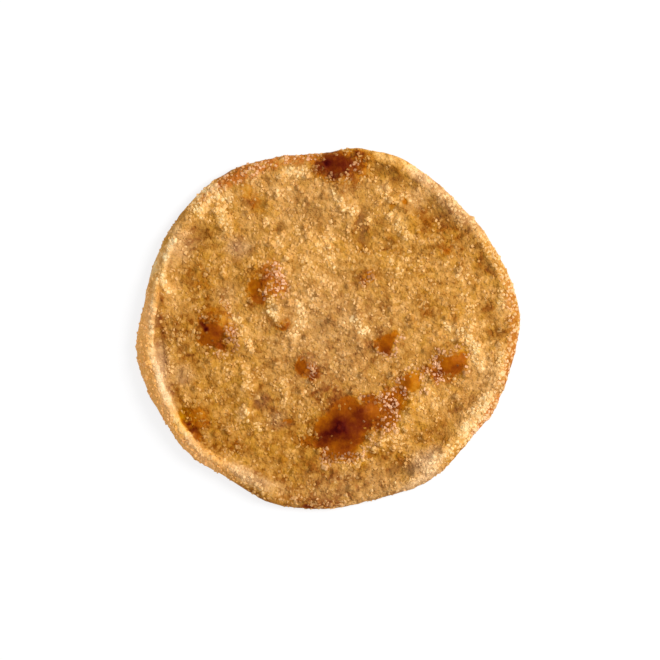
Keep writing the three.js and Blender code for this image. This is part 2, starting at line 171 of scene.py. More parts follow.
# Broader places where the crust is browner than the rest, without being burnt. amount: how much browner
toasted = {
    "leftMiddle": patch(-32.6, 13.6, 10, 7.6, 0.13, turn=-10),
    "leftMiddleDeep": patch(-33.4, 10.8, 4.4, 3, 0.16, core=0),
    "leftOfBubble": patch(-37.6, 0, 6.2, 9, 0.15, turn=8, core=0.2),
    "aboveBubble": patch(-31.6, 4.6, 8, 5, 0.18, turn=-25),
    "belowBubble": patch(-36, -6.4, 5, 4, 0.14, turn=-10),
    "leftLow": patch(-34, -14.6, 6, 6.4, 0.04, core=0.2),
    "lowerLeft": patch(-31.4, -24.6, 8.6, 8.2, 0.15, turn=-30),
    "lowerLeftDeep": patch(-35.6, -24.2, 3.6, 7.4, 0.22, turn=32),
    "lowerLeftFoot": patch(-25.4, -31, 9, 3.4, 0.2, turn=-12),
    "lowerLeftMiddle": patch(-25.8, -17.6, 5.2, 3, 0.1, core=0),
    "greyStreak": patch(-17.2, -18, 3.2, 6.6, 0.18, turn=6),
    "wideLow": patch(-12, -27, 13, 9, 0.06, core=0.3),
    "lowPatch": patch(-10.6, -24, 5.6, 3.2, 0.08, turn=4, core=0),
    "leftOfBurn": patch(-5, -34, 10, 4.6, 0.13, turn=8),
    "wideFoot": patch(-2, -39.6, 15, 5.4, 0.13, core=0.3),
    "footEdge": patch(-3.6, -44.6, 9, 2.6, 0.28, turn=-2, core=0.2),
    "aboveBurn": patch(0, -17.4, 7, 5, 0.22, turn=-30),
    "middleBubbleRound": patch(-5.4, -10.6, 6.4, 4.8, 0.16, turn=-20),
    "leaningRound": patch(13.4, -4.6, 7.4, 5.6, 0.15, turn=30),
    "smallAmberRound": patch(18.4, -16.4, 5, 7, 0.18, turn=-20),
    "rightBubbleRound": patch(31.4, -9.4, 8.2, 6.8, 0.16, core=0.2),
    "rightLow": patch(28, -26.6, 7.4, 5.2, 0.13, turn=30),
    "rightLowAbove": patch(33.6, -20.6, 3, 5, 0.18, turn=-10, core=0),
    "underBurn": patch(16.4, -34, 7.4, 4.2, 0.2, turn=-20),
    "lowFootRight": patch(8.4, -37.6, 6, 4.6, 0.16, core=0),
    "footSpeck": patch(12.8, -41.8, 2.6, 1.8, 0.12, core=0),
    "rightEdgeHollow": patch(44.9, -0.9, 3, 2.8, 0.22),
    "rightEdgeHollowUp": patch(42, 4.2, 3, 3.8, 0.16, turn=15),
    "rightGutter": patch(40.4, 17, 7, 3, 0.18, turn=-56, core=0.2),
    "rightShoulder": patch(29.2, 26.4, 10.4, 6.6, 0.22, turn=-40, core=0.2),
    "rightShoulderFoot": patch(30.6, 21.4, 6.4, 4, 0.17),
    "rightShoulderDeep": patch(27.6, 27, 5.6, 3, 0.14, turn=-50, core=0),
    "rightMiddle": patch(24.8, 5.4, 3.6, 6.4, 0.12),
    "middleRight": patch(13, 7, 5.6, 4.2, 0.1),
    "abovePip": patch(9, 13.4, 5, 5, 0.13),
    "upperHollow": patch(8.6, 26.4, 3.2, 8.4, 0.38, turn=-2),
    "upperHollowSide": patch(13.4, 26.6, 4, 4, 0.12),
    "upperHollowPit": patch(15.6, 21.8, 3, 3.2, 0.16, core=0),
    "topGutter": patch(15.4, 41, 8.4, 2.8, 0.18, turn=-28, core=0.2),
    "topGutterEnd": patch(20.8, 37.6, 2.8, 2.4, 0.12),
    "belowTopBurn": patch(3.4, 38.2, 10, 4, 0.16, turn=-4),
    "topMiddle": patch(-3.4, 31, 8.6, 4.2, 0.11, turn=-8),
    "upperMiddlePit": patch(-12, 26.4, 3.4, 2.4, 0.14, core=0),
    "upperLeftStain": patch(-19.4, 33, 3.4, 6, 0.22, turn=36, core=0),
    "topLeftEdge": patch(-22.6, 40.8, 5.6, 2.2, 0.16, turn=22),
    "topLeftEdgeRight": patch(-14.6, 42.6, 4, 2.2, 0.14, core=0),
    "upperLeft": patch(-32.4, 24.8, 7, 5, 0.16, turn=30),
    "besideUpperLeft": patch(-23.6, 21, 5.6, 4.4, 0.15, turn=-20),
    "longBubbleRound": patch(-18, 10.6, 8, 7.2, 0.18, turn=30, core=0.2),
    "leftBubbleRound": patch(-29.4, -1.6, 8, 8, 0.2, core=0.3),
    "pipRound": patch(-12.4, 0.6, 5, 3.8, 0.14, core=0),
    "middle": patch(-1.8, 0.8, 4.4, 5.6, 0.08, turn=10),
    "leftGutter": patch(-42.8, 3, 2, 8, 0.16, core=0.2),
    "leftGutterLow": patch(-40.2, -16, 2, 9, 0.12, turn=16),
    "leftOfMiddleLow": patch(-18.2, -12.6, 3, 2.6, 0.18),
    "underLowLeftTop": patch(-12.2, -8.2, 3.4, 2.6, 0.14),
    "besideTopY": patch(9.9, 34.3, 2.6, 2, 0.14),
    "underLeaning": patch(14.6, -8.6, 3.6, 2, 0.14),
    "lowerLeftBank": patch(-18, -38.4, 5, 2.2, 0.16, turn=-20),
    "aboveMiddleBubble": patch(-0.8, -7.6, 2.6, 2, 0.16),
    "aboveCurvedBank": patch(33.3, 2.8, 2.4, 1.8, 0.13),
    "underFootOfBroad": patch(6.2, -34.9, 3.2, 1.8, 0.14),
    "rightEdgeUpper": patch(45, 18, 4, 1.8, 0.12, turn=-62, core=0.2),
    "leftLowStreak": patch(-38, -11.3, 2.2, 2.6, 0.14),
    "topBurnBeside": patch(-4.7, 40.8, 2.4, 1.6, 0.14),
    "upperGutterRight": patch(36, 26, 6, 1.6, 0.12, turn=-48),
    "lowerEdgeLeft": patch(-17.6, -43.2, 3.4, 1.6, 0.12, turn=-22),
    "rightEdge": patch(48.6, 1.6, 2, 11, 0.06, core=0.2),
    "rightUpperEdge": patch(45, 18.6, 1.8, 4, 0.06, turn=20, core=0.2),
    "upperLeftEdge": patch(-17.4, 43.2, 3.4, 1.8, 0.06, turn=18),
    "upperMiddlePip": patch(0.8, 23.9, 2.2, 2, 0.07),
    "lowerLeftRimToast": patch(-28, -34.4, 4.4, 2.2, 0.05, turn=-36, core=0.2),
    "upperLeftStreak": patch(-23.2, 17.9, 2, 2, 0.12),
    "rightLowerEdge": patch(41.2, -24.8, 3.4, 2.6, 0.07, turn=50, core=0.2),
    "leftLowMiddle": patch(-31.2, -18.8, 2.4, 2.2, 0.1),
    "lowLeftMiddle": patch(-15.6, -11.3, 2, 2, 0.07),
    "footRight": patch(24.5, -38.4, 2.6, 1.6, 0.08, turn=25),
    "upperLeftCrest": patch(-40.6, 19.6, 2, 2.2, 0.1),
    "upperLeftPip": patch(-22.9, 21.5, 1.8, 1.8, 0.1),
    "rightLowPip": patch(36.4, -24, 2, 1.8, 0.09),
}

# Whole sides of the biscuit that are a little browner than the rest, or paler where the amount is negative
fields = {
    "upper": patch(-12, 28, 34, 24, -0.045, core=0.2),
    "lower": patch(-4, -24, 44, 26, 0.035, core=0.3),
    "right": patch(20, 12, 22, 18, 0.02, core=0.2),
}

# Places where the colour is a little richer, or greyer where the amount is negative
colourFields = {
    "middle": patch(0, -2, 24, 24, -0.06, core=0.2),
    "left": patch(-52, 4, 18, 46, -0.03, core=0.3),
    "right": patch(34, 2, 22, 36, -0.01, core=0.3),
    "foot": patch(10, -46, 26, 14, -0.06, core=0.3),
    "lowerRight": patch(40, -18, 14, 14, -0.06, core=0.2),
    "upper": patch(-6, 34, 26, 14, -0.04, core=0.2),
    "upperRightEdge": patch(33, 33.5, 17, 5, -0.12, turn=-44, core=0.3),
    "lowPatch": patch(-13, -23.6, 4.6, 4, -0.08),
    "lowerLeftEdge": patch(-38, -26, 14, 3.2, -0.08, turn=-57, core=0.3),
    "leftCrest": patch(-42.2, -14, 2.6, 8, -0.06, turn=16, core=0.2),
    "footRightEdge": patch(24.6, -40, 9, 2.4, -0.12, turn=28, core=0.3),
    "besideTopEdge": patch(23.4, 39.6, 5, 2, -0.1, turn=-32, core=0.3),
    "chain": patch(35.5, -17, 9, 8, 0.03, core=0.2),
    "underChain": patch(25.6, -34.6, 7, 4.6, -0.16, turn=30, core=0.2),
    "leftCrestFoot": patch(-43.6, -8.4, 2.8, 7, -0.14, turn=8, core=0.2),
    "lowerLeftCrest": patch(-21, -38.2, 9, 2.6, -0.15, turn=-27, core=0.2),
    "lowerLeftToast": patch(-37.6, -24.4, 4, 4.6, 0.14, core=0.2),
    "upperLeft": patch(-38.6, 21.6, 6, 8, -0.08, turn=-28, core=0.2),
    "upperHollow": patch(-23.4, 21, 5, 4, -0.12, core=0.2),
    "leftHollow": patch(-37.8, -12.2, 3.6, 3.6, -0.1, core=0.2),
    "lowerLeftFoot": patch(-13.6, -41, 5, 2.6, -0.05, turn=-20, core=0.2),
    "rightOfHollow": patch(22.6, 33.6, 4.6, 4.6, -0.06, core=0.2),
    "aboveLeft": patch(-26.4, 9, 4, 4.4, -0.05, core=0.2),
    "upperHoney": patch(-15.6, 31.4, 4.4, 4, 0.05, core=0.2),
    "underSmallAmber": patch(22.4, -19.4, 4, 3, 0.04, core=0.2),
    "leftMiddle": patch(-16.8, -19, 3.4, 3.4, -0.05, core=0.2),
    "lowerLeftCrestTop": patch(-42.4, -16, 2.4, 5, -0.07, turn=20, core=0.2),
    "lowerLeftRim": patch(-31, -34.6, 5, 2.4, -0.06, turn=-42, core=0.2),
    "leftRim": patch(-46, 3, 2.4, 7, -0.06, core=0.2),
    "upperLeftRim": patch(-42.8, 22.4, 2.4, 4, 0.06, turn=-20, core=0.2),
    "underRightBubble": patch(35.6, -5.2, 3, 2.4, 0.04, core=0.2),
    "longBubbleTip": patch(-12.6, 10.8, 3, 3, 0.05, core=0.2),
    "lowMiddle": patch(7.8, -35, 3.4, 2.4, 0.05, core=0.2),
}

# Paler places: broad golden fields and pale patches, and painted light: the bank along the right and lower
# right is painted paler where the key light falls on it, and the left rim's outer edge and crest are painted
# paler to light up slopes turned away from the key
pale = {
    "rightField": patch(39.6, -8, 5.6, 10, 0.1, turn=10, core=0.2),
    "rightBank": patch(36.4, 6.6, 4, 7, 0.06),
    "lowerRight": patch(37.4, -25.2, 12, 4.4, 0.09, turn=50, core=0.3),
    "lowerRightCorner": patch(25.8, -36.4, 6.6, 3.6, 0.06, turn=36, core=0.2),
    "rightEdgeUp": patch(45.4, 10, 2.6, 8.6, 0.05, turn=18, core=0.2),
    "besideAmber": patch(25.6, -17.6, 4.6, 5.6, 0.08),
    "upperLeftEdge": patch(-32, 33.6, 7.4, 4.6, 0.14, turn=44, core=0.2),
    "upperField": patch(-1.6, 19.4, 9, 6, 0.05),
    "topLeftField": patch(-9.4, 40.6, 5.4, 3.2, 0.1),
    "betweenBubbles": patch(-21.4, -1.6, 5, 4.4, 0.08, turn=-40),
    "upperRightField": patch(18.8, 27, 3.4, 7.6, 0.07, turn=24),
    "leftRimInside": patch(-40.4, 22.4, 3, 5, 0.08, turn=-20),
    "leftUpperEdge": patch(-45.6, 16.6, 6, 2.4, 0.46, turn=64, core=0.2),
    "leftOuterEdge": patch(-48.8, 3, 2.8, 15, 0.28, core=0.2),
    "leftCrest": patch(-42.6, -14, 2.6, 7, 0.17, turn=14, core=0.2),
    "lowerLeftCrest": patch(-38.6, -26.4, 10, 2.6, 0.2, turn=-57, core=0.2),
    "lowerLeftEdge": patch(-31, -36, 4.4, 2.2, 0.2, turn=-32, core=0.2),
    "curvedBankHollow": patch(33.6, -2.8, 2, 1.6, 0.3),
    "lowerLeftClump": patch(-22.6, -22.4, 3.4, 2.6, 0.14, turn=-30),
    "leftSmallField": patch(-21.1, 3.8, 2.6, 2.2, 0.12),
    "leftLowField": patch(-33, -12.6, 3.4, 2.6, 0.08),
    "rightMiddleField": patch(28.6, 14, 3, 2.6, 0.1),
    "leftOuterLow": patch(-47.2, -12.4, 2.2, 6.4, 0.24, turn=14, core=0.2),
    "footRightEdge": patch(22.6, -41.2, 6, 1.8, 0.12, turn=22, core=0.2),
    "upperLeftDrift": patch(-29.4, 27.2, 2.4, 2.4, 0.14),
    "rightEdgeField": patch(43.7, 6.7, 1.8, 2.4, 0.14),
    "betweenHollowsField": patch(11.4, 29.6, 1.8, 2.2, 0.14),
    "rightOfHollowField": patch(23.7, 27.5, 2.4, 2, 0.1),
    "topLeftCorner": patch(-27.1, 38.4, 2.8, 2, 0.14, turn=34),
    "leftBubbleField": patch(-24.2, 2.3, 2.2, 2, 0.12),
    "topYStem": patch(0.8, 35.8, 2, 2.2, 0.12),
    "lowerLeftRim": patch(-35.2, -32.4, 5, 1.8, 0.15, turn=-45, core=0.2),
    "leftHighRim": patch(-42, 23.8, 3, 1.8, 0.12, turn=58, core=0.2),
    "underLeftHoney": patch(-34.1, 6.7, 2.4, 1.8, 0.12),
    "aboveRightGutter": patch(-19.8, 23.9, 2.2, 2, 0.12),
    "curvedBankFoot": patch(36.7, -6.1, 1.8, 2, 0.14),
    "rightLowField": patch(26.8, -24.6, 2.2, 2, 0.12),
    "lowerRightPale": patch(19.6, -39.8, 3, 1.8, 0.06, turn=10),
    "besideTopEdge": patch(24.2, 40.4, 5, 1.8, 0.2, turn=-32, core=0.2),
    "lowLeftMiddle": patch(-17.6, -23.6, 2, 2, 0.06),
    "rightShoulder": patch(34.2, 32.8, 3, 2, 0.08, turn=-50, core=0.2),
    "aboveMiddleLeft": patch(-17.4, 4.6, 2, 2, 0.06),
    "aboveLeftBubble": patch(-30.2, 5.2, 2, 1.6, 0.06),
    "lowerLeftCrestLine": patch(-41.4, -16, 1.5, 4, 0.12, turn=22, core=0.2),
    "upperRightShoulder": patch(36, 31, 3, 1.8, 0.06, turn=-50, core=0.2),
    "besideTop": patch(21.3, 41.6, 3, 1.6, 0.05, turn=-28, core=0.2),
    "upperMiddlePip": patch(6.2, 30.9, 1.8, 1.8, 0.12),
    "leftRimPip": patch(-47.2, 10.8, 1.6, 2.4, 0.1),
}

# Reddish orange places along the edge and beside the burns
embers = {
    "right": streak(46.8, 12.4, 48.8, -1, 2.6, 0.45),
    "rightLower": streak(48.6, -1, 45.8, -14, 1.8),
    "lowerRight": streak(44.8, -18, 38.4, -27.4, 1.6, 0.9),
    "upperLeft": streak(-28, 38, -14, 43.6, 2.4, 0.9),
    "nearTopBurn": streak(-14, 44.2, -3, 44.6, 2, 0.8),
    "lower": streak(-15, -44.2, 5, -45.8, 1.6, 0.2),
    "byLongBubble": streak(-14.8, 15.2, -12.4, 10.6, 3.2, 0.9),
    "byBroadBubble": streak(16, -17.6, 16, -25, 2.6, 0.4),
    "byRightBubble": streak(27.4, -10, 29.4, -13.6, 2, 0.5),
    "byLeftBubble": streak(-27.2, 6.4, -25.2, 0.4, 1.8, 0.4),
    "lowerLeft": streak(-38.8, -27.4, -26, -38.6, 1.2, 0.15),
    "upperRight": streak(32.4, 36, 33.4, 35, 1.8, 0.7),
    "upperLeftTail": streak(-28.6, 37.6, -32.4, 34.2, 2.4, 0.45),
}

# Long drifts of coarse sugar. amount: 0.6 unless the drift is paler or fainter
drifts = {
    "topLeft": streak(-12, 41.6, -6.6, 40.2, 2.4, 0.85),
    "topLeftTail": streak(-12.4, 37, -12.8, 32.2, 1.2),
    "leftOfTop": streak(-31, 36.6, -26.6, 34, 2.4, 0.9),
    "leftShoulder": streak(-34.4, 34, -34.2, 29.6, 1.7, 0.9),
    "upperLeft": streak(-28.2, 31, -26.2, 26, 1.9, 1.1),
    "upperLeftSmall": streak(-16.8, 29.2, -15, 26.4, 1),
    "upperMiddleLeft": streak(-12.6, 23, -11.6, 19, 1.3),
    "aboveMiddle": streak(-8.4, 24.6, -2.4, 21.6, 2.8, 0.5),
    "middleColumn": streak(0.8, 25.4, 0.8, 15.8, 1.6, 0.8),
    "middleLeftColumn": streak(-7, 17, -1.6, 13, 1.8),
    "besideLongBubble": streak(-10.2, 12.4, -9.6, 8.6, 1.3),
    "middleField": streak(-8, 12, -1.6, 6.6, 3.6, 0.4),
    "pale": streak(-15, 8.6, -14, 4, 1.6, 1.6),
    "leftOfMiddle": streak(-6.6, 5.2, -8.4, -1.2, 1.9, 1.2),
    "besideLeftBubble": streak(-24.2, 2.2, -19.6, -4.6, 1.6, 0.8),
    "lowerLeftBubble": streak(-26.4, -6.4, -26.6, -9.4, 1.2),
    "lowerLeft": streak(-22.2, -9, -21.2, -15.4, 1.3),
    "lowerLeftEnd": streak(-21.6, -20.6, -18.4, -26, 2.1, 1),
    "lowLeft": streak(-12.2, -14, -11.2, -18.6, 1.6),
    "lowLeftTop": streak(-13.2, -3.2, -11.2, -4.6, 1.1),
    "rightOfMiddle": streak(7.4, 3.2, 9.4, -1.2, 1.5, 1.4),
    "upperRightY": streak(2.4, 35, 4.8, 30.8, 1.3, 1.3),
    "upperRightYArm": streak(6.6, 32.4, 6, 25.2, 1, 0.9),
    "byUpperHollow": streak(15, 37, 14.2, 33.8, 1.5),
    "betweenHollows": streak(12.4, 31, 11, 28.4, 1.2),
    "rightOfHollow": streak(16.8, 29.6, 20.8, 23.8, 2),
    "rightOfHollowTop": streak(18.4, 33.8, 22.4, 33.8, 1.2),
    "upperRight": streak(16.4, 19, 18.6, 14.6, 1.7, 0.8),
    "upperRightSmall": streak(25, 19.4, 24.4, 17, 1.1),
    "farRight": streak(31.6, 17, 34.8, 12.6, 1.2),
    "farRightSmall": streak(35.2, 10.4, 35.4, 8.6, 1.1),
    "rightPip": streak(16, 3.8, 17.8, 7.6, 1.1),
    "curvedBank": streak(29.8, 1.4, 34.6, -0.6, 1.4, 1.3),
    "curvedBankTurn": streak(35, -1, 37.6, -5, 1.6, 1.5),
    "curvedBankEnd": streak(38.6, -5.2, 39.6, -9.4, 1.7, 1.5),
    "curvedBankOutside": streak(37.2, 5.6, 37.4, 1, 1.7),
    "rightEdgeInside": streak(44.4, 9, 45.6, 5.4, 1.3, 0.9),
    "rightEdgeLower": streak(44.8, -6.4, 44.6, -13.4, 1.7, 0.8),
    "lowerRightEdge": streak(41.6, -18.4, 35, -29.4, 2.7, 0.9),
    "lowerRightCorner": streak(31.4, -30.8, 26, -36.4, 2.4, 1),
    "whiteClump": streak(25.6, -34.2, 22, -33.4, 1.6, 1.1),
    "lowerEdge": streak(24, -38.8, 17.8, -41.2, 1.5),
    "besideBurn": streak(15.6, -19.2, 17.8, -22.4, 2.3),
    "besideBurnLow": streak(20.8, -24.8, 12.2, -28.6, 2.2),
    "underBurn": streak(10, -30.4, 15.2, -31.2, 1.5),
    "underBurnLeft": streak(9.2, -33.8, 3.6, -36, 1.7),
    "rightOfBurn": streak(23, -18.6, 25, -22, 2.2),
    "aboveAmber": streak(22, -10.6, 26.2, -11.8, 1.6),
    "amberRight": streak(25, -14.4, 28.4, -19.8, 1.8),
    "leftRimInside": streak(-41.6, -7, -41, -13, 1),
    "lowerLeftBand": streak(-25.4, -35.6, -15.4, -41, 2.2, 0.35),
    "leftHigh": streak(-39.8, 23.4, -37.2, 20.6, 1.2, 0.8),
    "lowMiddleSmall": streak(1.2, -9, 2.4, -10.4, 1),
    "lowMiddle": streak(6.6, -11.4, 11, -12.2, 1.3),
    "besideBroadFoot": streak(10.6, -29.6, 19.4, -27.4, 2.8, 0.7),
}

# Where rosy crystals cluster beside the burns. amount: 1 unless there are fewer
clusters = {
    "rightOfBroad": streak(15.6, -17.4, 16.6, -24.6, 3.2, 1),
    "belowBroad": streak(14.6, -26.4, 9.6, -31.2, 2.2, 0.8),
    "footOfBroad": streak(8, -33, -1, -34.6, 2),
    "footOfBroadLeft": streak(-1, -31.4, 0.8, -32.4, 1.2, 0.7),
    "aboveBroad": streak(9, -17.2, 13.6, -17.8, 1.2),
    "smallAmber": streak(18.4, -14, 20, -17.4, 1.8, 1),
    "smallAmberRight": streak(24.6, -12, 24.6, -16.6, 1.5, 1),
    "aboveSmallAmber": streak(20.4, -10.4, 25.4, -11.4, 1.4, 1),
    "rightBubble": streak(28, -8.6, 29.6, -13, 2, 1),
    "rightBubbleTop": streak(28.4, -5.4, 34.4, -5.2, 1.3, 0.8),
    "rightBubbleRight": streak(37, -6.8, 35.2, -11.4, 1.3, 0.8),
    "leaningBubble": streak(18.8, -2.2, 17.6, -6.4, 1.4, 1),
    "leaningFoot": streak(12.6, -5.6, 15.4, -8, 1, 0.7),
    "middleBubble": streak(-4.6, -8.2, -3.8, -12.6, 1.6, 0.5),
    "leftBubble": streak(-25.6, -1, -25.2, -5.4, 2, 1),
    "leftBubbleFoot": streak(-30.4, -6.4, -27, -7, 1),
    "leftBubbleAbove": streak(-34.6, 4.8, -32.4, 2.4, 1, 0.3),
    "longBubble": streak(-13.2, 15.6, -11.4, 10.2, 3, 0.8),
    "longBubbleFoot": streak(-15.8, 10, -16.4, 8.4, 1, 1),
    "topBurn": streak(-2.6, 40.4, 5.6, 39.2, 1.5, 0.35),
    "topBurnLeft": streak(-5.4, 43.6, -3.4, 41.6, 1.6, 0.4),
    "topBurnRight": streak(5.6, 43.4, 7.6, 41.6, 1.8),
    "pipAboveMiddle": streak(9.6, 11.8, 11.6, 13.8, 1.6, 0.5),
}

# Bare hollows with little sugar, where the olive-brown dough shows. amount: 0.6 unless darker or fainter
bareSpots = {
    "upperLeft": patch(-33.2, 24.6, 5, 3.8, turn=42, core=0.2),
    "upperLeftBeside": patch(-29.2, 23.6, 2.6, 2.2),
    "upperLeftSmall": patch(-31.6, 30.4, 1.8, 1.6),
    "besideIt": patch(-22, 20.8, 4.6, 2.6, turn=-10),
    "upperMiddle": patch(-12, 26.3, 2.6, 1.6, 0.8),
    "topMiddle": patch(-4.6, 31.6, 5.6, 3.2, turn=-10),
    "leftOfLongBubble": patch(-23.6, 12, 2.8, 4.2),
    "middle": patch(-1.8, 0.6, 4, 5.4, turn=10),
    "upperHollow": patch(8.8, 28.4, 2.4, 7, 0.9, turn=-4, core=0.35),
    "upperHollowFoot": patch(9.2, 23.6, 3.2, 2.2, 1, turn=-20, core=0.2),
    "upperHollowRight": patch(13.8, 26.6, 2.2, 3.4, turn=-30, core=0.2),
    "upperHollowPit": patch(15.6, 21.8, 1.9, 2.2, 1, turn=20, core=0.2),
    "topRightGutter": patch(15.6, 40.2, 6.6, 2, 0.8, turn=-28, core=0.2),
    "topRightGutterEnd": patch(21, 37.4, 2.6, 1.9, 0.8, turn=-50),
    "rightShoulder": patch(28.4, 30.2, 6.6, 3.2, 0.75, turn=-36, core=0.2),
    "rightShoulderPit": patch(23.6, 31.4, 1.9, 1.4, 0.95),
    "rightShoulderEnd": patch(36.6, 23.6, 5.6, 2.4, turn=-52),
    "rightGutter": patch(41.6, 16.8, 4.2, 1.8, turn=-58),
    "aboveMiddle": patch(6.8, 14.6, 3, 3.6),
    "rightOfMiddle": patch(12.6, 7.4, 4.6, 2.8, turn=10),
    "rightOfMiddleLow": patch(10.6, -5.6, 3.4, 1.9, turn=-20),
    "farRight": patch(42.2, 4, 2.2, 2.4),
    "farRightLow": patch(44.8, -0.8, 2.2, 1.9),
    "leftGutter": patch(-43.4, 4.2, 1.2, 6.2, 0.8, turn=-2, core=0.2),
    "leftGutterLow": patch(-43.2, -5.4, 1.2, 4.4, 0.8, turn=8, core=0.2),
    "leftOlive": patch(-37, -5.6, 3.4, 2, turn=-20),
    "lowerLeftOlive": patch(-38.4, -21.4, 1.4, 3.4, turn=28),
    "lowerLeftPit": patch(-25.2, -17.4, 1.8, 1.6, 0.8),
    "lowerLeftGrey": patch(-17.4, -18, 2, 4.2, 0.7, turn=10, core=0.2),
    "lowOlive": patch(-10.6, -23.8, 4.2, 1.8, 0.75, turn=6),
    "lowerOlive": patch(-6.6, -34, 4.4, 2),
    "lowerEdgeOlive": patch(-0.6, -43.6, 3.4, 1.5, turn=10),
    "lowerRightHollow": patch(20.2, -36.6, 5.6, 1.8, 1, turn=-4, core=0.3),
    "lowerRightPit": patch(16.2, -37.6, 1.6, 1.6, 0.9),
    "underBurnPit": patch(11.7, -32.6, 1.7, 1.5, 0.9),
    "rightOlive": patch(28.8, -27.2, 4.2, 2.8, turn=30),
    "rightOliveAbove": patch(33.6, -21.4, 1.8, 3.6, turn=-10),
}

# The left rim: its crest from the upper end round to the lower one, with a kink near the top, and the gutter
# that follows it on the inside
crest = {
    "upper": [(-40.2, 22.6), (-41.8, 18.6), (-42.9, 15.0), (-42.8, 12.4), (-41.2, 10.0)],
    "lower": [(-44.6, 12.4), (-44.8, 8), (-45.4, 3.4), (-45.9, -0.8), (-46.2, -4.8), (-45.3, -8.7),
              (-43.5, -13.2), (-41.4, -18.9), (-38.2, -25.8), (-33.8, -31.2), (-28.2, -34.6),
              (-21.8, -37.6), (-15.4, -40.2)],
    "half": 1.15,
    "gutterIn": 2.0,  # how far inside the crest the gutter runs
    "gutterHalf": 1.3,
}

patchEnd = 1.1  # where a patch ends, in half lengths from its middle
streakCore, streakEnd = 0.3, 1.15  # where a streak stops being full, and ends, in half-widths
faintest = 0.004  # vertex weights below this are left out


def softStep(low, high, value):
    t = np.clip((value - low) / (high - low), 0, 1)
    return t * t * (3 - 2 * t)


def patchMask(x, y, spot):
    # 1 in the middle of a turned ellipse, falling to 0 at its edge
    turn = math.radians(spot["turn"])
    dx, dy = x - spot["at"][0], y - spot["at"][1]
    along = (dx * math.cos(turn) + dy * math.sin(turn)) / spot["half"][0]
    across = (dy * math.cos(turn) - dx * math.sin(turn)) / spot["half"][1]
    return 1 - softStep(spot["core"], patchEnd, np.hypot(along, across))


def streakMask(x, y, ends, half):
    # 1 along a line, falling to 0 to either side of it
    (ax, ay), (bx, by) = ends
    length2 = (bx - ax) ** 2 + (by - ay) ** 2
    t = np.clip(((x - ax) * (bx - ax) + (y - ay) * (by - ay)) / length2, 0, 1)
    away = np.hypot(x - ax - t * (bx - ax), y - ay - t * (by - ay))
    return 1 - softStep(streakCore * half, streakEnd * half, away)


def patchAmounts(x, y, patches):
    return [spot["amount"] * patchMask(x, y, spot) for spot in patches.values()]


def strongestPatch(x, y, patches):
    return np.max(patchAmounts(x, y, patches), axis=0)


def strongestStreak(x, y, streaks):
    return np.max([s["amount"] * streakMask(x, y, s["ends"], s["half"]) for s in streaks.values()], axis=0)


def lineMask(x, y, line, half):
    return np.max([streakMask(x, y, ends, half) for ends in zip(line, line[1:])], axis=0)


def crestMask(x, y):
    return np.maximum(*[lineMask(x, y, crest[part], crest["half"]) for part in ("upper", "lower")])


def gutterMask(x, y):
    # The gutter keeps beside the lower crest, but not as far as its last three places
    line = []
    for a, b in crest["lower"][:-3]:
        inwards = 1 - crest["gutterIn"] / math.hypot(a, b)
        line.append((a * inwards, b * inwards))
    return lineMask(x, y, line, crest["gutterHalf"])


def turnMask(angles, turn):
    # 1 along a stretch of the edge, softly ending
    start, full, fade, end = turn
    if end > 180:
        angles = angles % 360
    return softStep(start, full, angles) * softStep(end, fade, angles)


def selectOnly(obj):
    for other in bpy.context.view_layer.objects:
        other.select_set(False)
    obj.select_set(True)
    bpy.context.view_layer.objects.active = obj


def applyModifier(obj, kind, **settings):
    modifier = obj.modifiers.new(kind.lower(), kind)
    for name, value in settings.items():
        setattr(modifier, name, value)
    selectOnly(obj)
    bpy.ops.object.modifier_apply(modifier=modifier.name)


def countTriangles(obj):
    return sum(len(face.vertices) - 2 for face in obj.data.polygons)


def coordinates(obj):
    places = np.empty(len(obj.data.vertices) * 3)
    obj.data.vertices.foreach_get("co", places)
    return places.reshape(-1, 3) / mm


def moveTo(obj, places):
    obj.data.vertices.foreach_set("co", (places * mm).ravel())


def facingUp(obj):
    # The upward part of each vertex normal: 1 on the flat top, -1 on the flat underside
    normals = np.empty(len(obj.data.vertices) * 3)
    obj.data.vertex_normals.foreach_get("vector", normals)
    return normals[2::3]


def storeMask(obj, name, values):
    attribute = obj.data.attributes.get(name) or obj.data.attributes.new(name, "FLOAT", "POINT")
    attribute.data.foreach_set("value", np.asarray(values, np.float32))


def paintGroup(obj, name, weights):
    group = obj.vertex_groups.new(name=name)
    for index in np.flatnonzero(weights > faintest):
        group.add([int(index)], float(weights[index]), "REPLACE")


# The dough

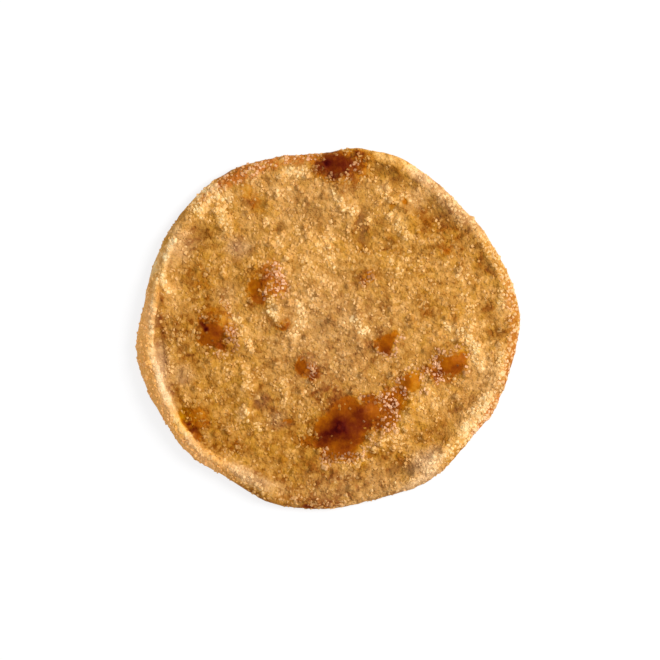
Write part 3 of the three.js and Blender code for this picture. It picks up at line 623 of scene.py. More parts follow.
dough = {
    "voxel": 0.34,  # fineness of the remeshed surface
    "weld": 0.002,
    "soften": 8,  # rounds of smoothing
    "underFacing": -0.7,  # faces turned down further than this are the flat underside
    "keptFaces": 0.62,  # what thinning the underside leaves of all the faces
    "edgeGain": 0.14,  # width given back to the edge after smoothing, and how far in that reaches
    "edgeReach": (2.4, 0.2),
    "spareHeight": 0.12,  # how far the crust may rise above the solid
    "wander": ((1.3, 5.2, 4.7), (0.55, 1.7, 13.7)),  # reach, length and layer of what strays patches
    "clumps": ((1.3, 2.7, 8.8), (0.9, 1.5, 3.1)),  # strength, size and layer of the noise that clumps sugar
    "topFacing": (-0.25, 0.35),  # between these the crust gives way to the underside
    "sideFacing": (0.6, 0.25),
    "sugarFacing": (0.3, 0.7),
    "sugarEdge": (3.0, 1.0),
    "touching": (0.35, 0.05),  # heights between which the underside starts to touch the floor
    "bake": 0.448,  # how brown the plain crust is
    "sideBake": 0.3,  # and its steep sides, at the least
    "driftPale": 0.13,
    "bareBrown": 0.07,
    "clumpPale": 0.05,
    # the crest is paler, pale sugar with a painted highlight; the gutter browner, partly painted shade in the
    # recess
    "crestPaleAndLit": 0.29,
    "gutterBrownAndShade": 0.1,
    "caramelFrom": 0.3,  # browner spots than this turn into caramel
    "caramelGain": 4,
    "caramelFade": (0.08, 0.7),
    "glazeFade": (0.35, 0.8),
    "sugarless": (0.4, 0.9),  # drifts end where a glaze comes between these
    "rises": {"drift": 0.14, "bare": -0.26, "ridge": 0.22, "gutter": -0.26},
    "leastCrusty": 0.12,
    "lumpRise": 0.34,
    "lumpSize": 2.4,
    "grainRise": -0.16,
    "grainSize": 1.05,
}

# Stretches of the edge. turn: where each starts, is full, starts to fade and ends, in degrees from +X.
# depth: how far in from the outline it ends, and from where it is full. brown: how much browner it is
stretches = {
    "sugaredEdge": dict(turn=(-60, -36, 58, 70), depth=(3.4, 1.6), brown=0.02),
    "smoothEdge": dict(turn=(60, 66, 74, 84), depth=(3.0, 1.2), brown=-0.16),
    # slope: the left rim's outer slope, turned away from the key; it is painted paler, partly its own colour
    # and partly painted light
    "slope": dict(turn=(156, 178, 228, 246), depth=(4.6, 3.4), brown=-0.02),
    # upperRight and right are paler as painted light, where the key light from the right falls on the edge
    "upperRight": dict(turn=(6, 24, 66, 84), depth=(4.5, 0.6), brown=-0.05),
    "right": dict(turn=(-70, -50, -25, -10), depth=(5.0, 2.0), brown=-0.08),
    "lowerRightLip": dict(turn=(-80, -66, -16, -2), depth=(1.6, 0.5), brown=0.16),
    "lowerLip": dict(turn=(228, 238, 262, 275), depth=(1.6, 0.5), brown=0.14),
}


def wanderedPlace(places):
    # The same places, strayed sideways by noise, so that no patch has a smooth outline
    strayed = places[:, :2].copy()
    for reach, length, layer in dough["wander"]:
        for i, (px, py, _) in enumerate(places):
            shift = noise.noise_vector(Vector((px / length, py / length, layer)))
            strayed[i, 0] += reach * shift.x
            strayed[i, 1] += reach * shift.y
    return strayed[:, 0], strayed[:, 1]


def clumpiness(places):
    # Where the sugar has clumped together, from about -1 to 1
    clump = np.zeros(len(places))
    for strength, size, layer in dough["clumps"]:
        clump += [strength * noise.noise(Vector((px / size, py / size, layer))) for px, py, _ in places]
    return clump


def measureOutline(places, steps=240):
    angles = np.degrees(np.arctan2(places[:, 1], places[:, 0])) % 360
    radii = np.hypot(places[:, 0], places[:, 1])
    bins = (angles / 360 * steps).astype(int) % steps
    furthest = np.zeros(steps)
    np.maximum.at(furthest, bins, radii)
    return (np.arange(steps) + 0.5) * 360 / steps, furthest


def edgeInset(places):
    # How far in from the outline each place is, and in which direction from the middle
    angles = np.degrees(np.arctan2(places[:, 1], places[:, 0]))
    radii = np.hypot(places[:, 0], places[:, 1])
    return np.interp(angles, *measureOutline(places), period=360) - radii, angles


def paintBake(x, y, burnX, burnY, drift, bare, edges):
    # How brown each place is: the plain crust, its toasted and pale fields, then the burns over them. The
    # pale fields include painted light on the right bank and the left rim
    brown, paleAndLit = strongestPatch(x, y, toasted), strongestPatch(x, y, pale)
    bake = dough["bake"] + sum(patchAmounts(x, y, fields)) + brown - paleAndLit
    bake = bake - dough["driftPale"] * drift + dough["bareBrown"] * bare + edges
    caramel, glaze = np.zeros(len(x)), np.zeros(len(x))
    for spot in sorted(burns.values(), key=lambda s: s["amount"]):
        mask = patchMask(burnX, burnY, spot)
        bake = bake + np.maximum(spot["amount"] - bake, 0) * mask
        strength = min(1, (spot["amount"] - dough["caramelFrom"]) * dough["caramelGain"])
        share = strength * (0.5 + 0.5 * spot["glaze"])
        caramel = np.maximum(caramel, softStep(*dough["caramelFade"], mask) * share)
        glaze = np.maximum(glaze, softStep(*dough["glazeFade"], mask) * spot["glaze"])
    return bake, caramel, glaze


def paintEdges(inset, angles, ridge, gutter):
    # The stretches of the edge and how much browner they are; the left rim's crest is paler, with pale sugar
    # and a painted highlight, and its gutter browner, partly painted shade
    sides = {name: turnMask(angles, stretch["turn"]) * softStep(*stretch["depth"], inset)
             for name, stretch in stretches.items()}
    sides["slope"] = sides["slope"] * (1 - 0.6 * ridge)
    lower = turnMask(angles, stretches["lowerLip"]["turn"])
    brown = {name: stretch["brown"] * sides[name] for name, stretch in stretches.items()}
    brown["slope"] = brown["slope"] * (1 - lower)
    # Painted highlight on the crest and painted shade in the gutter, each partly its own colour
    crestLightAndShade = dough["gutterBrownAndShade"] * gutter - dough["crestPaleAndLit"] * ridge * (1 - 0.7 * lower)
    return sides, sum(brown.values()) + crestLightAndShade


def paintMasks(obj):
    places = coordinates(obj)
    x, y = wanderedPlace(places)
    halfX, halfY = (x + places[:, 0]) / 2, (y + places[:, 1]) / 2  # strayed half as far
    inset, angles = edgeInset(places)
    facing = facingUp(obj)
    top = softStep(*dough["topFacing"], facing)

    bare = strongestPatch(x, y, bareSpots)
    ridge = crestMask(halfX, halfY)
    gutter = gutterMask(halfX, halfY) * (1 - ridge)
    drift = strongestStreak(x, y, drifts)
    sides, edges = paintEdges(inset, angles, ridge, gutter)
    clump = clumpiness(places) * top
    bake, caramel, glaze = paintBake(x, y, halfX, halfY, drift, bare, edges - dough["clumpPale"] * clump)
    return {
        "bake": np.maximum(bake, dough["sideBake"] * softStep(*dough["sideFacing"], facing)),
        "caramel": caramel * top,
        "glaze": glaze,
        "bare": bare * top * (1 - ridge),
        "drift": drift * (1 - softStep(*dough["sugarless"], glaze)) * top,
        "clump": clump,
        "ridge": ridge * top,
        "gutter": gutter,
        # the slope mask also places the pale gold of painted light on the left rim's outer slope
        "slope": sides["slope"] * top,
        "smoothEdge": sides["smoothEdge"] * top,
        "sugaredEdge": sides["sugaredEdge"],
        "richness": sum(patchAmounts(places[:, 0], places[:, 1], colourFields)),
        "ember": np.maximum(strongestStreak(halfX, halfY, embers), 0.1 * sides["sugaredEdge"]),
        "glow": strongestStreak(x, y, clusters) * top,
        "edge": softStep(*dough["sugarEdge"], inset),
        "facing": softStep(*dough["sugarFacing"], facing),
        "top": top,
        "floorTouch": softStep(*dough["touching"], places[:, 2]),
    }


def cloudTexture(name, kind, size, **settings):
    texture = bpy.data.textures.new(name, kind)
    texture.noise_scale = size * mm
    for key, value in settings.items():
        setattr(texture, key, value)
    return texture


def widenEdge(obj):
    # Gives back the width that smoothing takes from the thin edge
    places = coordinates(obj)
    inset, _ = edgeInset(places)
    outwards = dough["edgeGain"] * softStep(*dough["edgeReach"], inset)
    places[:, :2] *= (1 + outwards / np.hypot(places[:, 0], places[:, 1]))[:, None]
    moveTo(obj, places)


def thinUnderside(obj):
    # The flat underside needs far fewer faces than the crust
    paintGroup(obj, "under", (facingUp(obj) < dough["underFacing"]).astype(float))
    applyModifier(obj, "DECIMATE", ratio=dough["keptFaces"], vertex_group="under")
    obj.vertex_groups.clear()


def keepHeight(obj):
    # Nothing sinks below what the biscuit lies on, or stands out above its rim
    places = coordinates(obj)
    places[:, 2] = np.clip(places[:, 2], 0, cadBox[1][2] / mm + dough["spareHeight"])
    moveTo(obj, places)


def displaceCrust(obj, masks):
    # Drifts and crest stand up, bare spots and gutter sink, and lumps and grains roughen what isn't glazed
    for name, rise in dough["rises"].items():
        paintGroup(obj, name, masks[name])
        applyModifier(obj, "DISPLACE", vertex_group=name, strength=rise * mm, mid_level=0)
    smoothTop = np.clip(1 - 0.7 * masks["glaze"] - 0.6 * masks["smoothEdge"], 0, 1)
    crusty = masks["top"] * smoothTop * (1 - 0.45 * masks["bare"])
    paintGroup(obj, "crusty", np.clip(crusty, dough["leastCrusty"], 1))
    lumps = cloudTexture("lumps", "CLOUDS", dough["lumpSize"], noise_depth=2)
    grains = cloudTexture("grains", "VORONOI", dough["grainSize"], distance_metric="DISTANCE")
    for texture, rise in ((lumps, dough["lumpRise"]), (grains, dough["grainRise"])):
        applyModifier(obj, "DISPLACE", vertex_group="crusty", texture=texture, strength=rise * mm)
    keepHeight(obj)
    obj.vertex_groups.clear()


def makeDough():
    node = frame["nodes"]["biscuit"]
    obj = bpy.data.objects.new("dough", node.data.copy())
    bpy.context.scene.collection.objects.link(obj)
    selectOnly(obj)
    bpy.ops.object.mode_set(mode="EDIT")
    bpy.ops.mesh.select_all(action="SELECT")
    bpy.ops.mesh.remove_doubles(threshold=dough["weld"] * mm)
    bpy.ops.object.mode_set(mode="OBJECT")
    applyModifier(obj, "REMESH", mode="VOXEL", voxel_size=dough["voxel"] * mm, use_smooth_shade=True)
    applyModifier(obj, "SMOOTH", factor=0.5, iterations=dough["soften"])
    thinUnderside(obj)
    widenEdge(obj)
    print("dough: remeshed to", countTriangles(obj), "triangles")

    masks = paintMasks(obj)
    displaceCrust(obj, masks)
    for name, values in masks.items():
        storeMask(obj, name, values)
    obj.data.materials.clear()
    obj.data.materials.append(doughMaterial())
    selectOnly(obj)
    bpy.ops.object.shade_smooth()
    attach(obj, "root")
    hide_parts("biscuit")
    print("dough: painted and displaced")
    return obj


# Colours

studioLight = 1.12  # how much brighter a surface looks in the studio light than its own colour
sheen = 0.003  # what its gloss adds to that
blackest = 0.0006


def seen(red, green, blue):
    # A colour as it looks in the studio, 0 to 255, as the surface's own linear colour
    looks = [((c / 255 + 0.055) / 1.055) ** 2.4 for c in (red, green, blue)]
    return tuple(max(c - sheen, blackest) / studioLight for c in looks) + (1,)


def setInputs(tree, node, values):
    # Links other nodes' sockets, sets plain values and skips None
    for name, value in values.items():
        if isinstance(value, bpy.types.NodeSocket):
            tree.links.new(value, node.inputs[name])
        elif value is not None:
            node.inputs[name].default_value = value


def addNode(tree, kind, inputs=None, **settings):
    node = tree.nodes.new(kind)
    for name, value in settings.items():
        setattr(node, name, value)
    setInputs(tree, node, inputs or {})
    return node


def mask(tree, name):
    return addNode(tree, "ShaderNodeAttribute", attribute_name=name, attribute_type="GEOMETRY").outputs["Fac"]


def mathNode(tree, operation, a, b=None, c=None, clamp=False):
    inputs = {0: a, 1: b, 2: c}
    return addNode(tree, "ShaderNodeMath", inputs, operation=operation, use_clamp=clamp).outputs[0]


def plus(tree, a, b, clamp=False):
    return mathNode(tree, "ADD", a, b, clamp=clamp)


def times(tree, a, b, clamp=False):
    return mathNode(tree, "MULTIPLY", a, b, clamp=clamp)


def vectorMath(tree, operation, a, b=None, scale=None):
    node = addNode(tree, "ShaderNodeVectorMath", {0: a, 1: b, "Scale": scale}, operation=operation)
    return node.outputs["Value" if operation == "DOT_PRODUCT" else "Vector"]


def mixColour(tree, amount, a, b):
    settings = dict(data_type="RGBA", blend_type="MIX", clamp_factor=True)
    return addNode(tree, "ShaderNodeMix", {0: amount, 6: a, 7: b}, **settings).outputs[2]


def noiseNode(tree, place, size, detail=2, rough=0.5):
    inputs = {"Vector": place, "Scale": 1 / (size * mm), "Detail": detail, "Roughness": rough}
    return addNode(tree, "ShaderNodeTexNoise", inputs).outputs["Fac"]


def remap(tree, value, low, high, toLow=0, toHigh=1):
    inputs = {"Value": value, "From Min": low, "From Max": high, "To Min": toLow, "To Max": toHigh}
    return addNode(tree, "ShaderNodeMapRange", inputs).outputs["Result"]


def ramp(tree, value, stops):
    node = addNode(tree, "ShaderNodeValToRGB", {"Fac": value})
    elements = node.color_ramp.elements
    while len(elements) < len(stops):
        elements.new(0.5)
    for element, (position, colour) in zip(elements, stops):
        element.position = position
        element.color = colour
    return node.outputs["Color"]


crustBrowning = [
    (0, seen(255, 222, 160)), (0.14, seen(252, 196, 118)), (0.3, seen(227, 167, 88)),
    (0.45, seen(203, 143, 63)), (0.58, seen(178, 116, 40)), (0.7, seen(152, 84, 14)),
    (0.82, seen(124, 55, 6)), (0.92, seen(96, 30, 3)), (1, seen(66, 14, 2)),
]

caramelBrowning = [
    (0, seen(244, 190, 112)), (0.42, seen(208, 142, 46)), (0.56, seen(190, 112, 14)),
    (0.66, seen(170, 90, 5)), (0.76, seen(143, 68, 3)), (0.86, seen(113, 42, 3)),
    (0.95, seen(90, 22, 3)), (1, seen(66, 12, 3)),
]

tints = {
    "olive": seen(172, 126, 58),
    "ember": seen(194, 108, 38),
    "rosy": seen(244, 186, 142),
    "honey": seen(206, 146, 44),
    # pale gold on the left rim's outer slope: partly its own colour, partly painted light on a slope turned
    # away from the key
    "rim": seen(255, 180, 84),
}

undersideLooks = {"pale": seen(196, 132, 66), "dark": seen(140, 80, 32)}

crustLook = {
    "patchSize": 4.2,  # the mottling, from broad patches through middling ones to the hue's own
    "mottleSize": 1.6,
    "hueSize": 2.6,
    "raggedSize": 1.1,  # of the edges of caramel
    "honeyShare": 0.42,
    "bareOlive": 0.4,
    "strayOlive": 0.16,
    # how much of that pale gold, partly painted light, the left rim's outer slope takes
    "rimGoldAndLightShare": 0.8,
    "grainTone": 0.07,  # how much grains packed in the crust lighten or darken it, and the finer ones
    "fineGrainTone": 0.035,
    "grainSize": 1.3,
    "fineGrainSize": 0.7,
    "fineGrainHeight": 0.6,
    "knobSize": 0.85,
    "specular": 0.04,
}

crystalLook = {
    "mottle": 0.6,
    "rarity": 1.6,  # the higher, the fewer are pale
    "toneGain": 0.75,
    "toneFrom": 0.14,
    "clumpTone": 0.3,
    "stainBrown": 0.3,
    "driftPale": 0.12,
    "tonePale": 0.22,
    "edgeShare": 0.36,
    "driftShare": 0.25,
    "bareOlive": 0.5,
    "specular": 0.2,
}


def newGroup(name, inputs, outputs):
    group = bpy.data.node_groups.new(name, "ShaderNodeTree")
    for key, value in inputs.items():
        group.interface.new_socket(key, in_out="INPUT", socket_type="NodeSocketFloat").default_value = value
    for key, kind in outputs.items():
        group.interface.new_socket(key, in_out="OUTPUT", socket_type=kind)
    given = group.nodes.new("NodeGroupInput").outputs
    place = addNode(group, "ShaderNodeTexCoord").outputs["Object"]
    return group, given, group.nodes.new("NodeGroupOutput"), place


def packedGrainsGroup():
    # Sugar packed into the crust: cells with a tone of their own and a tilted face each
    outputs = {"Tone": "NodeSocketFloat", "Hue": "NodeSocketFloat", "Height": "NodeSocketFloat"}
    group, given, leave, place = newGroup("packedGrains", {"Size": 1.0}, outputs)
    millimetres = vectorMath(group, "SCALE", place, scale=1 / mm)
    cells = addNode(group, "ShaderNodeTexVoronoi", {
        "Vector": millimetres, "Scale": mathNode(group, "DIVIDE", 1, given["Size"]), "Randomness": 1})
    parts = addNode(group, "ShaderNodeSeparateColor", {"Color": cells.outputs["Color"]})
    fromMiddle = vectorMath(group, "SUBTRACT", millimetres, cells.outputs["Position"])
    lean = vectorMath(group, "SUBTRACT", cells.outputs["Color"], (0.5, 0.5, 0.5))
    face = vectorMath(group, "DOT_PRODUCT", fromMiddle, lean)
    dome = times(group, cells.outputs["Distance"], 0.25)
    setInputs(group, leave, {"Tone": remap(group, parts.outputs[0], 0, 1, -1, 1), "Hue": parts.outputs[1],
                             "Height": mathNode(group, "SUBTRACT", face, dome)})
    return group


def bakedColourGroup():
    # Colour of anything baked, from how brown it is, mottled, and tinted olive, honey or ember in places, and
    # pale gold on the left rim's outer slope, partly its own colour and partly painted light
    inputs = {"Bake": 0.5, "Caramel": 0, "Mottle": 1, "Hue": 0.5, "Olive": 0, "Ember": 0, "Rim": 0,
              "Richness": 0}
    group, given, leave, place = newGroup("bakedColour", inputs, {"Color": "NodeSocketColor"})
    broad = remap(group, noiseNode(group, place, crustLook["patchSize"]), 0.3, 0.58, -0.1, 0.05)
    middling = noiseNode(group, place, crustLook["mottleSize"], rough=0.55)
    middling = remap(group, middling, 0.28, 0.55, -0.14, 0.035)
    mottle = times(group, plus(group, broad, middling), given["Mottle"])
    mottle = times(group, mottle, remap(group, given["Caramel"], 0.3, 1, 1, 0.4))
    bake = plus(group, given["Bake"], mottle, clamp=True)
    hueNoise = plus(group, noiseNode(group, place, crustLook["hueSize"], detail=1),
                    remap(group, given["Hue"], 0, 1, -0.04, 0.04))

    colour = ramp(group, bake, crustBrowning)
    honeyed = times(group, remap(group, hueNoise, 0.5, 0.66), crustLook["honeyShare"])
    colour = mixColour(group, honeyed, colour, tints["honey"])
    olived = plus(group, times(group, given["Olive"], crustLook["bareOlive"]),
                  times(group, remap(group, hueNoise, 0.48, 0.34), crustLook["strayOlive"]), clamp=True)
    colour = mixColour(group, olived, colour, tints["olive"])
    # Painted light, partly its own colour: the left rim's outer slope turns pale gold though it faces away
    # from the key
    colour = mixColour(group, given["Rim"], colour, tints["rim"])
    colour = addNode(group, "ShaderNodeHueSaturation", {
        "Color": colour, "Saturation": plus(group, given["Richness"], 1)}).outputs["Color"]
    embered = times(group, given["Ember"], remap(group, middling, -0.08, 0.03))
    colour = mixColour(group, embered, colour, tints["ember"])

    # Caramel has a ragged edge
    spare = mathNode(group, "SUBTRACT", 1, given["Caramel"])
    ragged = remap(group, noiseNode(group, place, crustLook["raggedSize"]), 0.32, 0.68, -1.5, 1.5)
    ragged = times(group, ragged, times(group, given["Caramel"], spare))
    share = plus(group, given["Caramel"], ragged, clamp=True)
    setInputs(group, leave, {"Color": mixColour(group, share, colour, ramp(group, bake, caramelBrowning))})
    return group


def useGroup(tree, group, **values):
    return addNode(tree, "ShaderNodeGroup", values, node_tree=group).outputs


groups = {"packedGrains": packedGrainsGroup(), "bakedColour": bakedColourGroup()}


def newMaterial(name):
    material = bpy.data.materials.new(name)
    material.use_nodes = True
    shader = next(n for n in material.node_tree.nodes if n.type == "BSDF_PRINCIPLED")
    return material, material.node_tree, shader


def doughMaterial():
    material, tree, shader = newMaterial("bakedDough")
    place = addNode(tree, "ShaderNodeTexCoord").outputs["Object"]
    grains = useGroup(tree, groups["packedGrains"], Size=crustLook["grainSize"])
    fineGrains = useGroup(tree, groups["packedGrains"], Size=crustLook["fineGrainSize"])
    caramel = mask(tree, "caramel")
    bared = plus(tree, mask(tree, "glaze"), times(tree, mask(tree, "bare"), 0.35))
    sugared = remap(tree, bared, 0.85, 0.1, 0.3, 1)

    # Grains packed in the crust lighten and darken it, but not what has caramelised
    both = plus(tree, times(tree, grains["Tone"], crustLook["grainTone"]),
                times(tree, fineGrains["Tone"], crustLook["fineGrainTone"]))
    bake = plus(tree, mask(tree, "bake"), times(tree, both, sugared))
    # Painted light, partly its own colour: the left rim's outer slope turns pale gold
    rim = times(tree, mask(tree, "slope"), crustLook["rimGoldAndLightShare"])
    crust = useGroup(tree, groups["bakedColour"], Bake=bake, Caramel=caramel, Hue=grains["Hue"], Rim=rim,
                     Olive=mask(tree, "bare"), Ember=mask(tree, "ember"), Richness=mask(tree, "richness"))

    patchy = remap(tree, noiseNode(tree, place, 5, detail=3, rough=0.6), 0.38, 0.62)
    underside = mixColour(tree, patchy, undersideLooks["dark"], undersideLooks["pale"])
    touched = times(tree, mask(tree, "floorTouch"), 0.6)
    underside = mixColour(tree, touched, underside, undersideLooks["dark"])

    heights = plus(tree, grains["Height"], times(tree, fineGrains["Height"], crustLook["fineGrainHeight"]))
    bump = addNode(tree, "ShaderNodeBump", {"Height": times(tree, heights, sugared), "Strength": 0.5,
                                            "Distance": 0.7 * mm})
    knobs = noiseNode(tree, place, crustLook["knobSize"], detail=1)
    knobbly = times(tree, knobs, remap(tree, bared, 1, 0.2, 0.15, 1))
    softBump = addNode(tree, "ShaderNodeBump", {"Height": knobbly, "Strength": 0.7, "Distance": 0.9 * mm,
                                                "Normal": bump.outputs["Normal"]})
    setInputs(tree, shader, {
        "Base Color": mixColour(tree, mask(tree, "top"), underside, crust["Color"]),
        "Roughness": remap(tree, caramel, 0.2, 0.9, 0.6, 0.48),
        "Specular IOR Level": crustLook["specular"],
        "Subsurface Weight": 0.06,
        "Subsurface Radius": (1, 0.5, 0.22),
        "Subsurface Scale": 0.8 * mm,
        "Normal": softBump.outputs["Normal"],
    })
    return material


def sugarMaterial(kind):
    # Baked sugar: it takes the crust's colour, paler by its own tone and in drifts, and rosy beside a burn
    material, tree, shader = newMaterial(kind["material"])
    drift, glow, ember, stain = [mask(tree, name) for name in ("drift", "glow", "ember", "stain")]
    few = mathNode(tree, "POWER", mask(tree, "tone"), crystalLook["rarity"])
    ownTone = mathNode(tree, "MULTIPLY_ADD", few, crystalLook["toneGain"], crystalLook["toneFrom"])
    tone = mathNode(tree, "MULTIPLY_ADD", mask(tree, "clump"), crystalLook["clumpTone"], ownTone, True)

    # On caramel it never gets as dark as the caramel
    brownest = remap(tree, mask(tree, "caramel"), 0.4, 1, 0.56, 0.84)
    settled = mathNode(tree, "MINIMUM", mask(tree, "bake"), brownest)
    deeper = plus(tree, settled, times(tree, times(tree, glow, stain), crystalLook["stainBrown"]))
    varied = mathNode(tree, "MULTIPLY_ADD", tone, -crystalLook["tonePale"], 0.03)
    bake = plus(tree, deeper, mathNode(tree, "MULTIPLY_ADD", drift, -crystalLook["driftPale"], varied))
    olive = times(tree, mask(tree, "bare"), crystalLook["bareOlive"])
    # Painted light, partly its own colour: the left rim's outer slope turns pale gold, as on the dough
    rim = times(tree, mask(tree, "slope"), crustLook["rimGoldAndLightShare"])
    crust = useGroup(tree, groups["bakedColour"], Bake=bake, Mottle=crystalLook["mottle"], Hue=stain, Rim=rim,
                     Olive=olive, Ember=times(tree, ember, stain), Richness=mask(tree, "richness"))

    driftShare = mathNode(tree, "MULTIPLY_ADD", mask(tree, "sugaredEdge"), crystalLook["edgeShare"],
                          times(tree, drift, crystalLook["driftShare"]))
    paler = plus(tree, times(tree, tone, kind["paleShare"]), driftShare, clamp=True)
    paler = times(tree, paler, remap(tree, mask(tree, "caramel"), 0.3, 0.9, 1, 0.25))
    colour = mixColour(tree, paler, crust["Color"], seen(*kind["lightest"]))
    rosy = times(tree, plus(tree, glow, ember), remap(tree, tone, 0.1, 0.75, 0.08, 0.85), clamp=True)
    rosy = times(tree, rosy, remap(tree, mask(tree, "glaze"), 0.6, 1, 1, 0.3))
    setInputs(tree, shader, {
        "Base Color": mixColour(tree, rosy, colour, tints["rosy"]),
        "Roughness": kind["roughness"],
        "Specular IOR Level": crystalLook["specular"],
    })
    return material


# The sugar

crystalShapes = {
    "block": dict(stretch=(1.0, 0.9, 0.72), bevel=0.16, taper=0.94, lean=0.0),
    "brick": dict(stretch=(1.18, 0.82, 0.64), bevel=0.14, taper=0.9, lean=0.12),
    "stump": dict(stretch=(0.92, 0.96, 0.84), bevel=0.22, taper=0.86, lean=-0.1),
    "chip": dict(stretch=(1.05, 0.78, 0.6), bevel=0.2, taper=0.8, lean=0.2),
}

splinterShapes = {
    "bead": dict(stretch=(1.0, 0.9, 0.8), taper=0.74, lean=0.08),
    "shard": dict(stretch=(1.16, 0.74, 0.66), taper=0.8, lean=0.2),
    "crumb": dict(stretch=(0.9, 1.0, 0.86), taper=0.6, lean=-0.1),
    "slab": dict(stretch=(1.1, 0.96, 0.54), taper=0.84, lean=-0.18),
}

# size: smallest and largest crystals. plain: share of plain crust it covers. cover: what masks add to it.
# clear: between these a glaze keeps it off. least: what it covers even there
sugar = {
    "coarseSugar": dict(
        shapes="coarse", spacing=0.8, most=2.4, size=(0.95, 1.7), sunk=0.34, seed=11, plain=0.2,
        cover=dict(drift=0.7, glow=1.1, ridge=0.3, sugaredEdge=1.2, ember=0.6, slope=0.15, bare=-0.25,
                   clump=0.4),
        clear=(0.5, 0.95), least=0.012,
        material="coarseCrystal", lightest=(255, 214, 148), paleShare=0.28, roughness=0.4,
    ),
    "middlingSugar": dict(
        shapes="fine", spacing=0.74, most=4.0, size=(0.75, 1.15), sunk=0.28, seed=23, plain=0.36,
        cover=dict(drift=0.4, ridge=0.1, sugaredEdge=0.1, bare=-0.3, ember=0.2, slope=0.3, glow=0.5,
                   clump=0.5),
        clear=(0.3, 1.0), least=0.1,
        material="middlingCrystal", lightest=(252, 204, 132), paleShare=0.18, roughness=0.45,
    ),
}

thinnestCover = 0.03
topCorners = 0.2  # corners higher than this are a crystal's top
topShift = (1, -0.6)  # which way its top leans
steepest = 0.6  # how far a crystal may tilt, in radians
squeeze = ((0.8, 0.8, 0.85), (1.15, 1.15, 1.1))


def shapeTop(lean, taper):
    # Draws the upper corners in and pushes them sideways, so that no crystal is square
    mesh = bpy.context.object.data
    bpy.ops.object.mode_set(mode="EDIT")
    bpy.ops.mesh.select_mode(type="VERT")
    bpy.ops.mesh.select_all(action="DESELECT")
    bpy.ops.object.mode_set(mode="OBJECT")
    for vertex in mesh.vertices:
        vertex.select = vertex.co.z > topCorners * mm
    bpy.ops.object.mode_set(mode="EDIT")
    bpy.ops.transform.resize(value=(taper, taper, 1))
    bpy.ops.transform.translate(value=(topShift[0] * lean * mm, topShift[1] * lean * mm, 0))
    bpy.ops.object.mode_set(mode="OBJECT")


def makeShapes(title, shapes):
    # One crystal of each shape, a millimetre across, in a collection to scatter from
    collection = bpy.data.collections.new(title)
    bpy.context.scene.collection.children.link(collection)
    for name, shape in shapes.items():
        bpy.ops.object.select_all(action="DESELECT")
        bpy.ops.mesh.primitive_cube_add(size=mm)
        obj = bpy.context.object
        obj.name = name
        obj.scale = shape["stretch"]
        bpy.ops.object.transform_apply(scale=True)
        shapeTop(shape["lean"], shape["taper"])
        if "bevel" in shape:
            applyModifier(obj, "BEVEL", width=shape["bevel"] * mm, segments=1, limit_method="NONE")
        for parent in obj.users_collection:
            parent.objects.unlink(obj)
        collection.objects.link(obj)
    return collection


def scatterGroup():
    tree = bpy.data.node_groups.new("scatterSugar", "GeometryNodeTree")
    kinds = {"Geometry": "Geometry", "Shapes": "Collection", "Where": "String", "Seed": "Int"}
    for name in ("Geometry", "Shapes", "Where", "Spacing", "Most", "Smallest", "Largest", "Sunk", "Seed"):
        tree.interface.new_socket(name, in_out="INPUT", socket_type="NodeSocket" + kinds.get(name, "Float"))
    tree.interface.new_socket("Geometry", in_out="OUTPUT", socket_type="NodeSocketGeometry")
    given = tree.nodes.new("NodeGroupInput").outputs

    def randomValue(low, high, step, first=2, kind="FLOAT"):
        # Each use has a seed of its own, some steps past the piece's seed
        inputs = {first: low, first + 1: high, "Seed": plus(tree, given["Seed"], step)}
        return addNode(tree, "FunctionNodeRandomValue", inputs, data_type=kind).outputs[first // 2]

    def randomVector(low, high, step):
        return randomValue(low, high, step, first=0, kind="FLOAT_VECTOR")

    def named(name):
        node = addNode(tree, "GeometryNodeInputNamedAttribute", {"Name": name}, data_type="FLOAT")
        return node.outputs["Attribute"]

    def remember(geometry, name, low, high, step):
        inputs = {"Geometry": geometry, "Name": name, "Value": randomValue(low, high, step)}
        node = addNode(tree, "GeometryNodeStoreNamedAttribute", inputs, data_type="FLOAT", domain="POINT")
        return node.outputs["Geometry"]

    spread = addNode(tree, "GeometryNodeDistributePointsOnFaces", {
        "Mesh": given["Geometry"], "Distance Min": given["Spacing"], "Density Max": given["Most"],
        "Density Factor": named(given["Where"]), "Seed": given["Seed"],
    }, distribute_method="POISSON")
    points = remember(spread.outputs["Points"], "tone", 0, 1, 4)
    points = remember(points, "stain", 0, 1, 5)
    points = remember(points, "across", given["Smallest"], given["Largest"], 1)

    # Each crystal lies nearly flat, turned any way, sunk into the dough by a share of its size
    across = named("across")
    depth = times(tree, across, given["Sunk"])
    down = vectorMath(tree, "SCALE", spread.outputs["Normal"], scale=depth)
    settled = addNode(tree, "GeometryNodeSetPosition", {"Geometry": points, "Offset": down})
    tilt = addNode(tree, "FunctionNodeEulerToRotation", {
        "Euler": randomVector((-steepest, -steepest, 0), (steepest, steepest, 6.283), 3)})
    turned = addNode(tree, "FunctionNodeRotateRotation", {
        "Rotation": spread.outputs["Rotation"], "Rotate By": tilt.outputs[0]}, rotation_space="LOCAL")
    shapes = addNode(tree, "GeometryNodeCollectionInfo", {
        "Collection": given["Shapes"], "Separate Children": True, "Reset Children": True})
    scale = vectorMath(tree, "SCALE", randomVector(*squeeze, 2), scale=across)
    placed = addNode(tree, "GeometryNodeInstanceOnPoints", {
        "Points": settled.outputs["Geometry"], "Instance": shapes.outputs["Instances"],
        "Pick Instance": True, "Rotation": turned.outputs[0], "Scale": scale,
    })
    real = addNode(tree, "GeometryNodeRealizeInstances", {"Geometry": placed.outputs["Instances"]})
    setInputs(tree, tree.nodes.new("NodeGroupOutput"), {"Geometry": real.outputs["Geometry"]})
    return tree


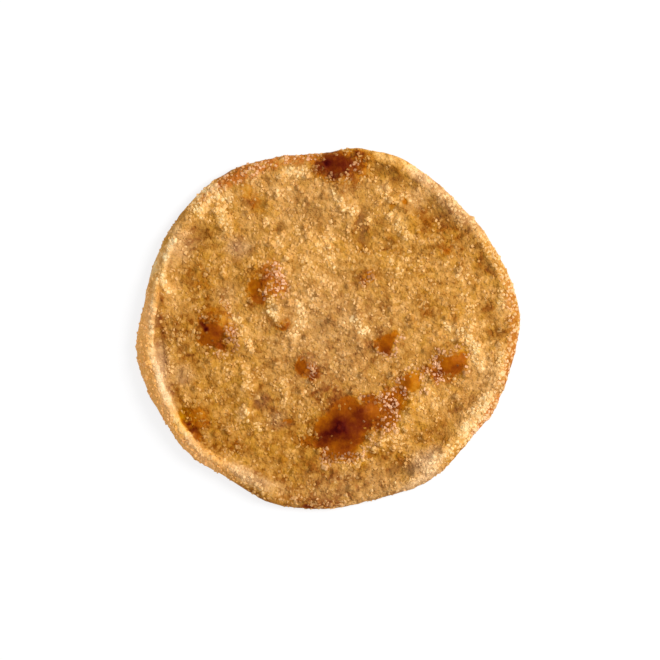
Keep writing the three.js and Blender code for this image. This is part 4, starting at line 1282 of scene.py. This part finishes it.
def sugarCover(obj, kind):
    # Share of the surface that this sugar covers, from the masks painted on the dough
    def painted(name):
        values = np.empty(len(obj.data.vertices), np.float32)
        obj.data.attributes[name].data.foreach_get("value", values)
        return values

    amount = kind["plain"]
    for name, weight in kind["cover"].items():
        amount = amount + weight * painted(name)
    clear = np.clip(1 - softStep(*kind["clear"], painted("glaze")), kind["least"], 1)
    sides = np.maximum(painted("facing"), painted("top") ** 0.5 * painted("edge"))
    return np.clip(amount, thinnestCover, 1) * clear * (1 - painted("smoothEdge")) * sides


def makeSugar(base, name, kind, group, shapes):
    storeMask(base, "cover", sugarCover(base, kind))
    obj = bpy.data.objects.new(name, base.data.copy())
    bpy.context.scene.collection.objects.link(obj)
    modifier = obj.modifiers.new("scatter", "NODES")
    modifier.node_group = group
    values = {"Shapes": shapes[kind["shapes"]], "Where": "cover", "Spacing": kind["spacing"] * mm,
              "Most": kind["most"] / mm ** 2, "Smallest": kind["size"][0], "Largest": kind["size"][1],
              "Sunk": -kind["sunk"] * mm, "Seed": kind["seed"]}
    for item in group.interface.items_tree:
        if item.in_out == "INPUT" and item.name in values:
            modifier[item.identifier] = values[item.name]
    selectOnly(obj)
    bpy.ops.object.modifier_apply(modifier=modifier.name)
    keepHeight(obj)
    obj.data.materials.clear()
    obj.data.materials.append(sugarMaterial(kind))
    bpy.ops.object.shade_flat()
    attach(obj, "root")
    print(name + ":", countTriangles(obj), "triangles")


def makeSugars(base):
    group = scatterGroup()
    shapes = {"coarse": makeShapes("crystals", crystalShapes),
              "fine": makeShapes("splinters", splinterShapes)}
    for name, kind in sugar.items():
        makeSugar(base, name, kind, group, shapes)
    for collection in shapes.values():
        for obj in list(collection.objects):
            bpy.data.objects.remove(obj)
        bpy.data.collections.remove(collection)
    base.data.attributes.remove(base.data.attributes["cover"])


# The studio

studio = {
    "imageSide": 660,  # pixels
    "originPixel": (328.0, 328.65),  # where the part's origin shows
    "pixel": 0.26035,  # width of a pixel, in millimetres
    "lens": 85,
    "sensor": 36,
    "focusHeight": 3,  # height at which a pixel has that width
    "clipStart": 0.01,
    "keyTurn": 17,  # degrees anticlockwise from +X
    "keyLift": 38,  # degrees above the floor
    "keyAway": 0.8,  # metres
    "keySize": 0.45,
    "keyPower": 6.4,
    "keyColour": (1.0, 0.985, 0.96),
    "fill": 0.66,
    "floorSize": 6,
    "floorColour": (0.24, 0.24, 0.245, 1),
    "floorGlow": 0.76,
    "floorRoughness": 0.9,
}


def makeCamera():
    pixel = studio["pixel"] * mm
    distance = pixel * studio["imageSide"] * studio["lens"] / studio["sensor"]
    x = (studio["imageSide"] / 2 - studio["originPixel"][0]) * pixel
    y = (studio["originPixel"][1] - studio["imageSide"] / 2) * pixel
    bpy.ops.object.camera_add(location=(x, y, studio["focusHeight"] * mm + distance), rotation=(0, 0, 0))
    camera = bpy.context.object
    camera.data.lens = studio["lens"]
    camera.data.sensor_width = studio["sensor"]
    camera.data.clip_start = studio["clipStart"]
    bpy.context.scene.camera = camera


def makeLights():
    turn, lift = math.radians(studio["keyTurn"]), math.radians(studio["keyLift"])
    towards = Vector((math.cos(turn) * math.cos(lift), math.sin(turn) * math.cos(lift), math.sin(lift)))
    place = towards * studio["keyAway"]
    bpy.ops.object.light_add(type="AREA", location=place)
    key = bpy.context.object
    key.rotation_euler = place.to_track_quat("Z", "Y").to_euler()
    key.data.shape = "DISK"
    key.data.size = studio["keySize"]
    key.data.energy = studio["keyPower"]
    key.data.color = studio["keyColour"]
    world = bpy.data.worlds.new("studioAir")
    world.use_nodes = True
    air = world.node_tree.nodes["Background"]
    setInputs(world.node_tree, air, {"Color": (1, 1, 1, 1), "Strength": studio["fill"]})
    bpy.context.scene.world = world
    bpy.context.scene.view_settings.view_transform = "Standard"


def makeFloor():
    bpy.ops.mesh.primitive_plane_add(size=studio["floorSize"], location=(0, 0, 0))
    floor = bpy.context.object
    floor.name = "floor"
    material, tree, shader = newMaterial("paleFloor")
    setInputs(tree, shader, {
        "Base Color": studio["floorColour"],
        "Roughness": studio["floorRoughness"],
        "Specular IOR Level": 0,
        "Emission Color": (1, 1, 1, 1),
        "Emission Strength": studio["floorGlow"],
    })
    floor.data.materials.append(material)


doughPiece = makeDough()
makeSugars(doughPiece)
makeFloor()
makeLights()
makeCamera()
print("studio: ready")
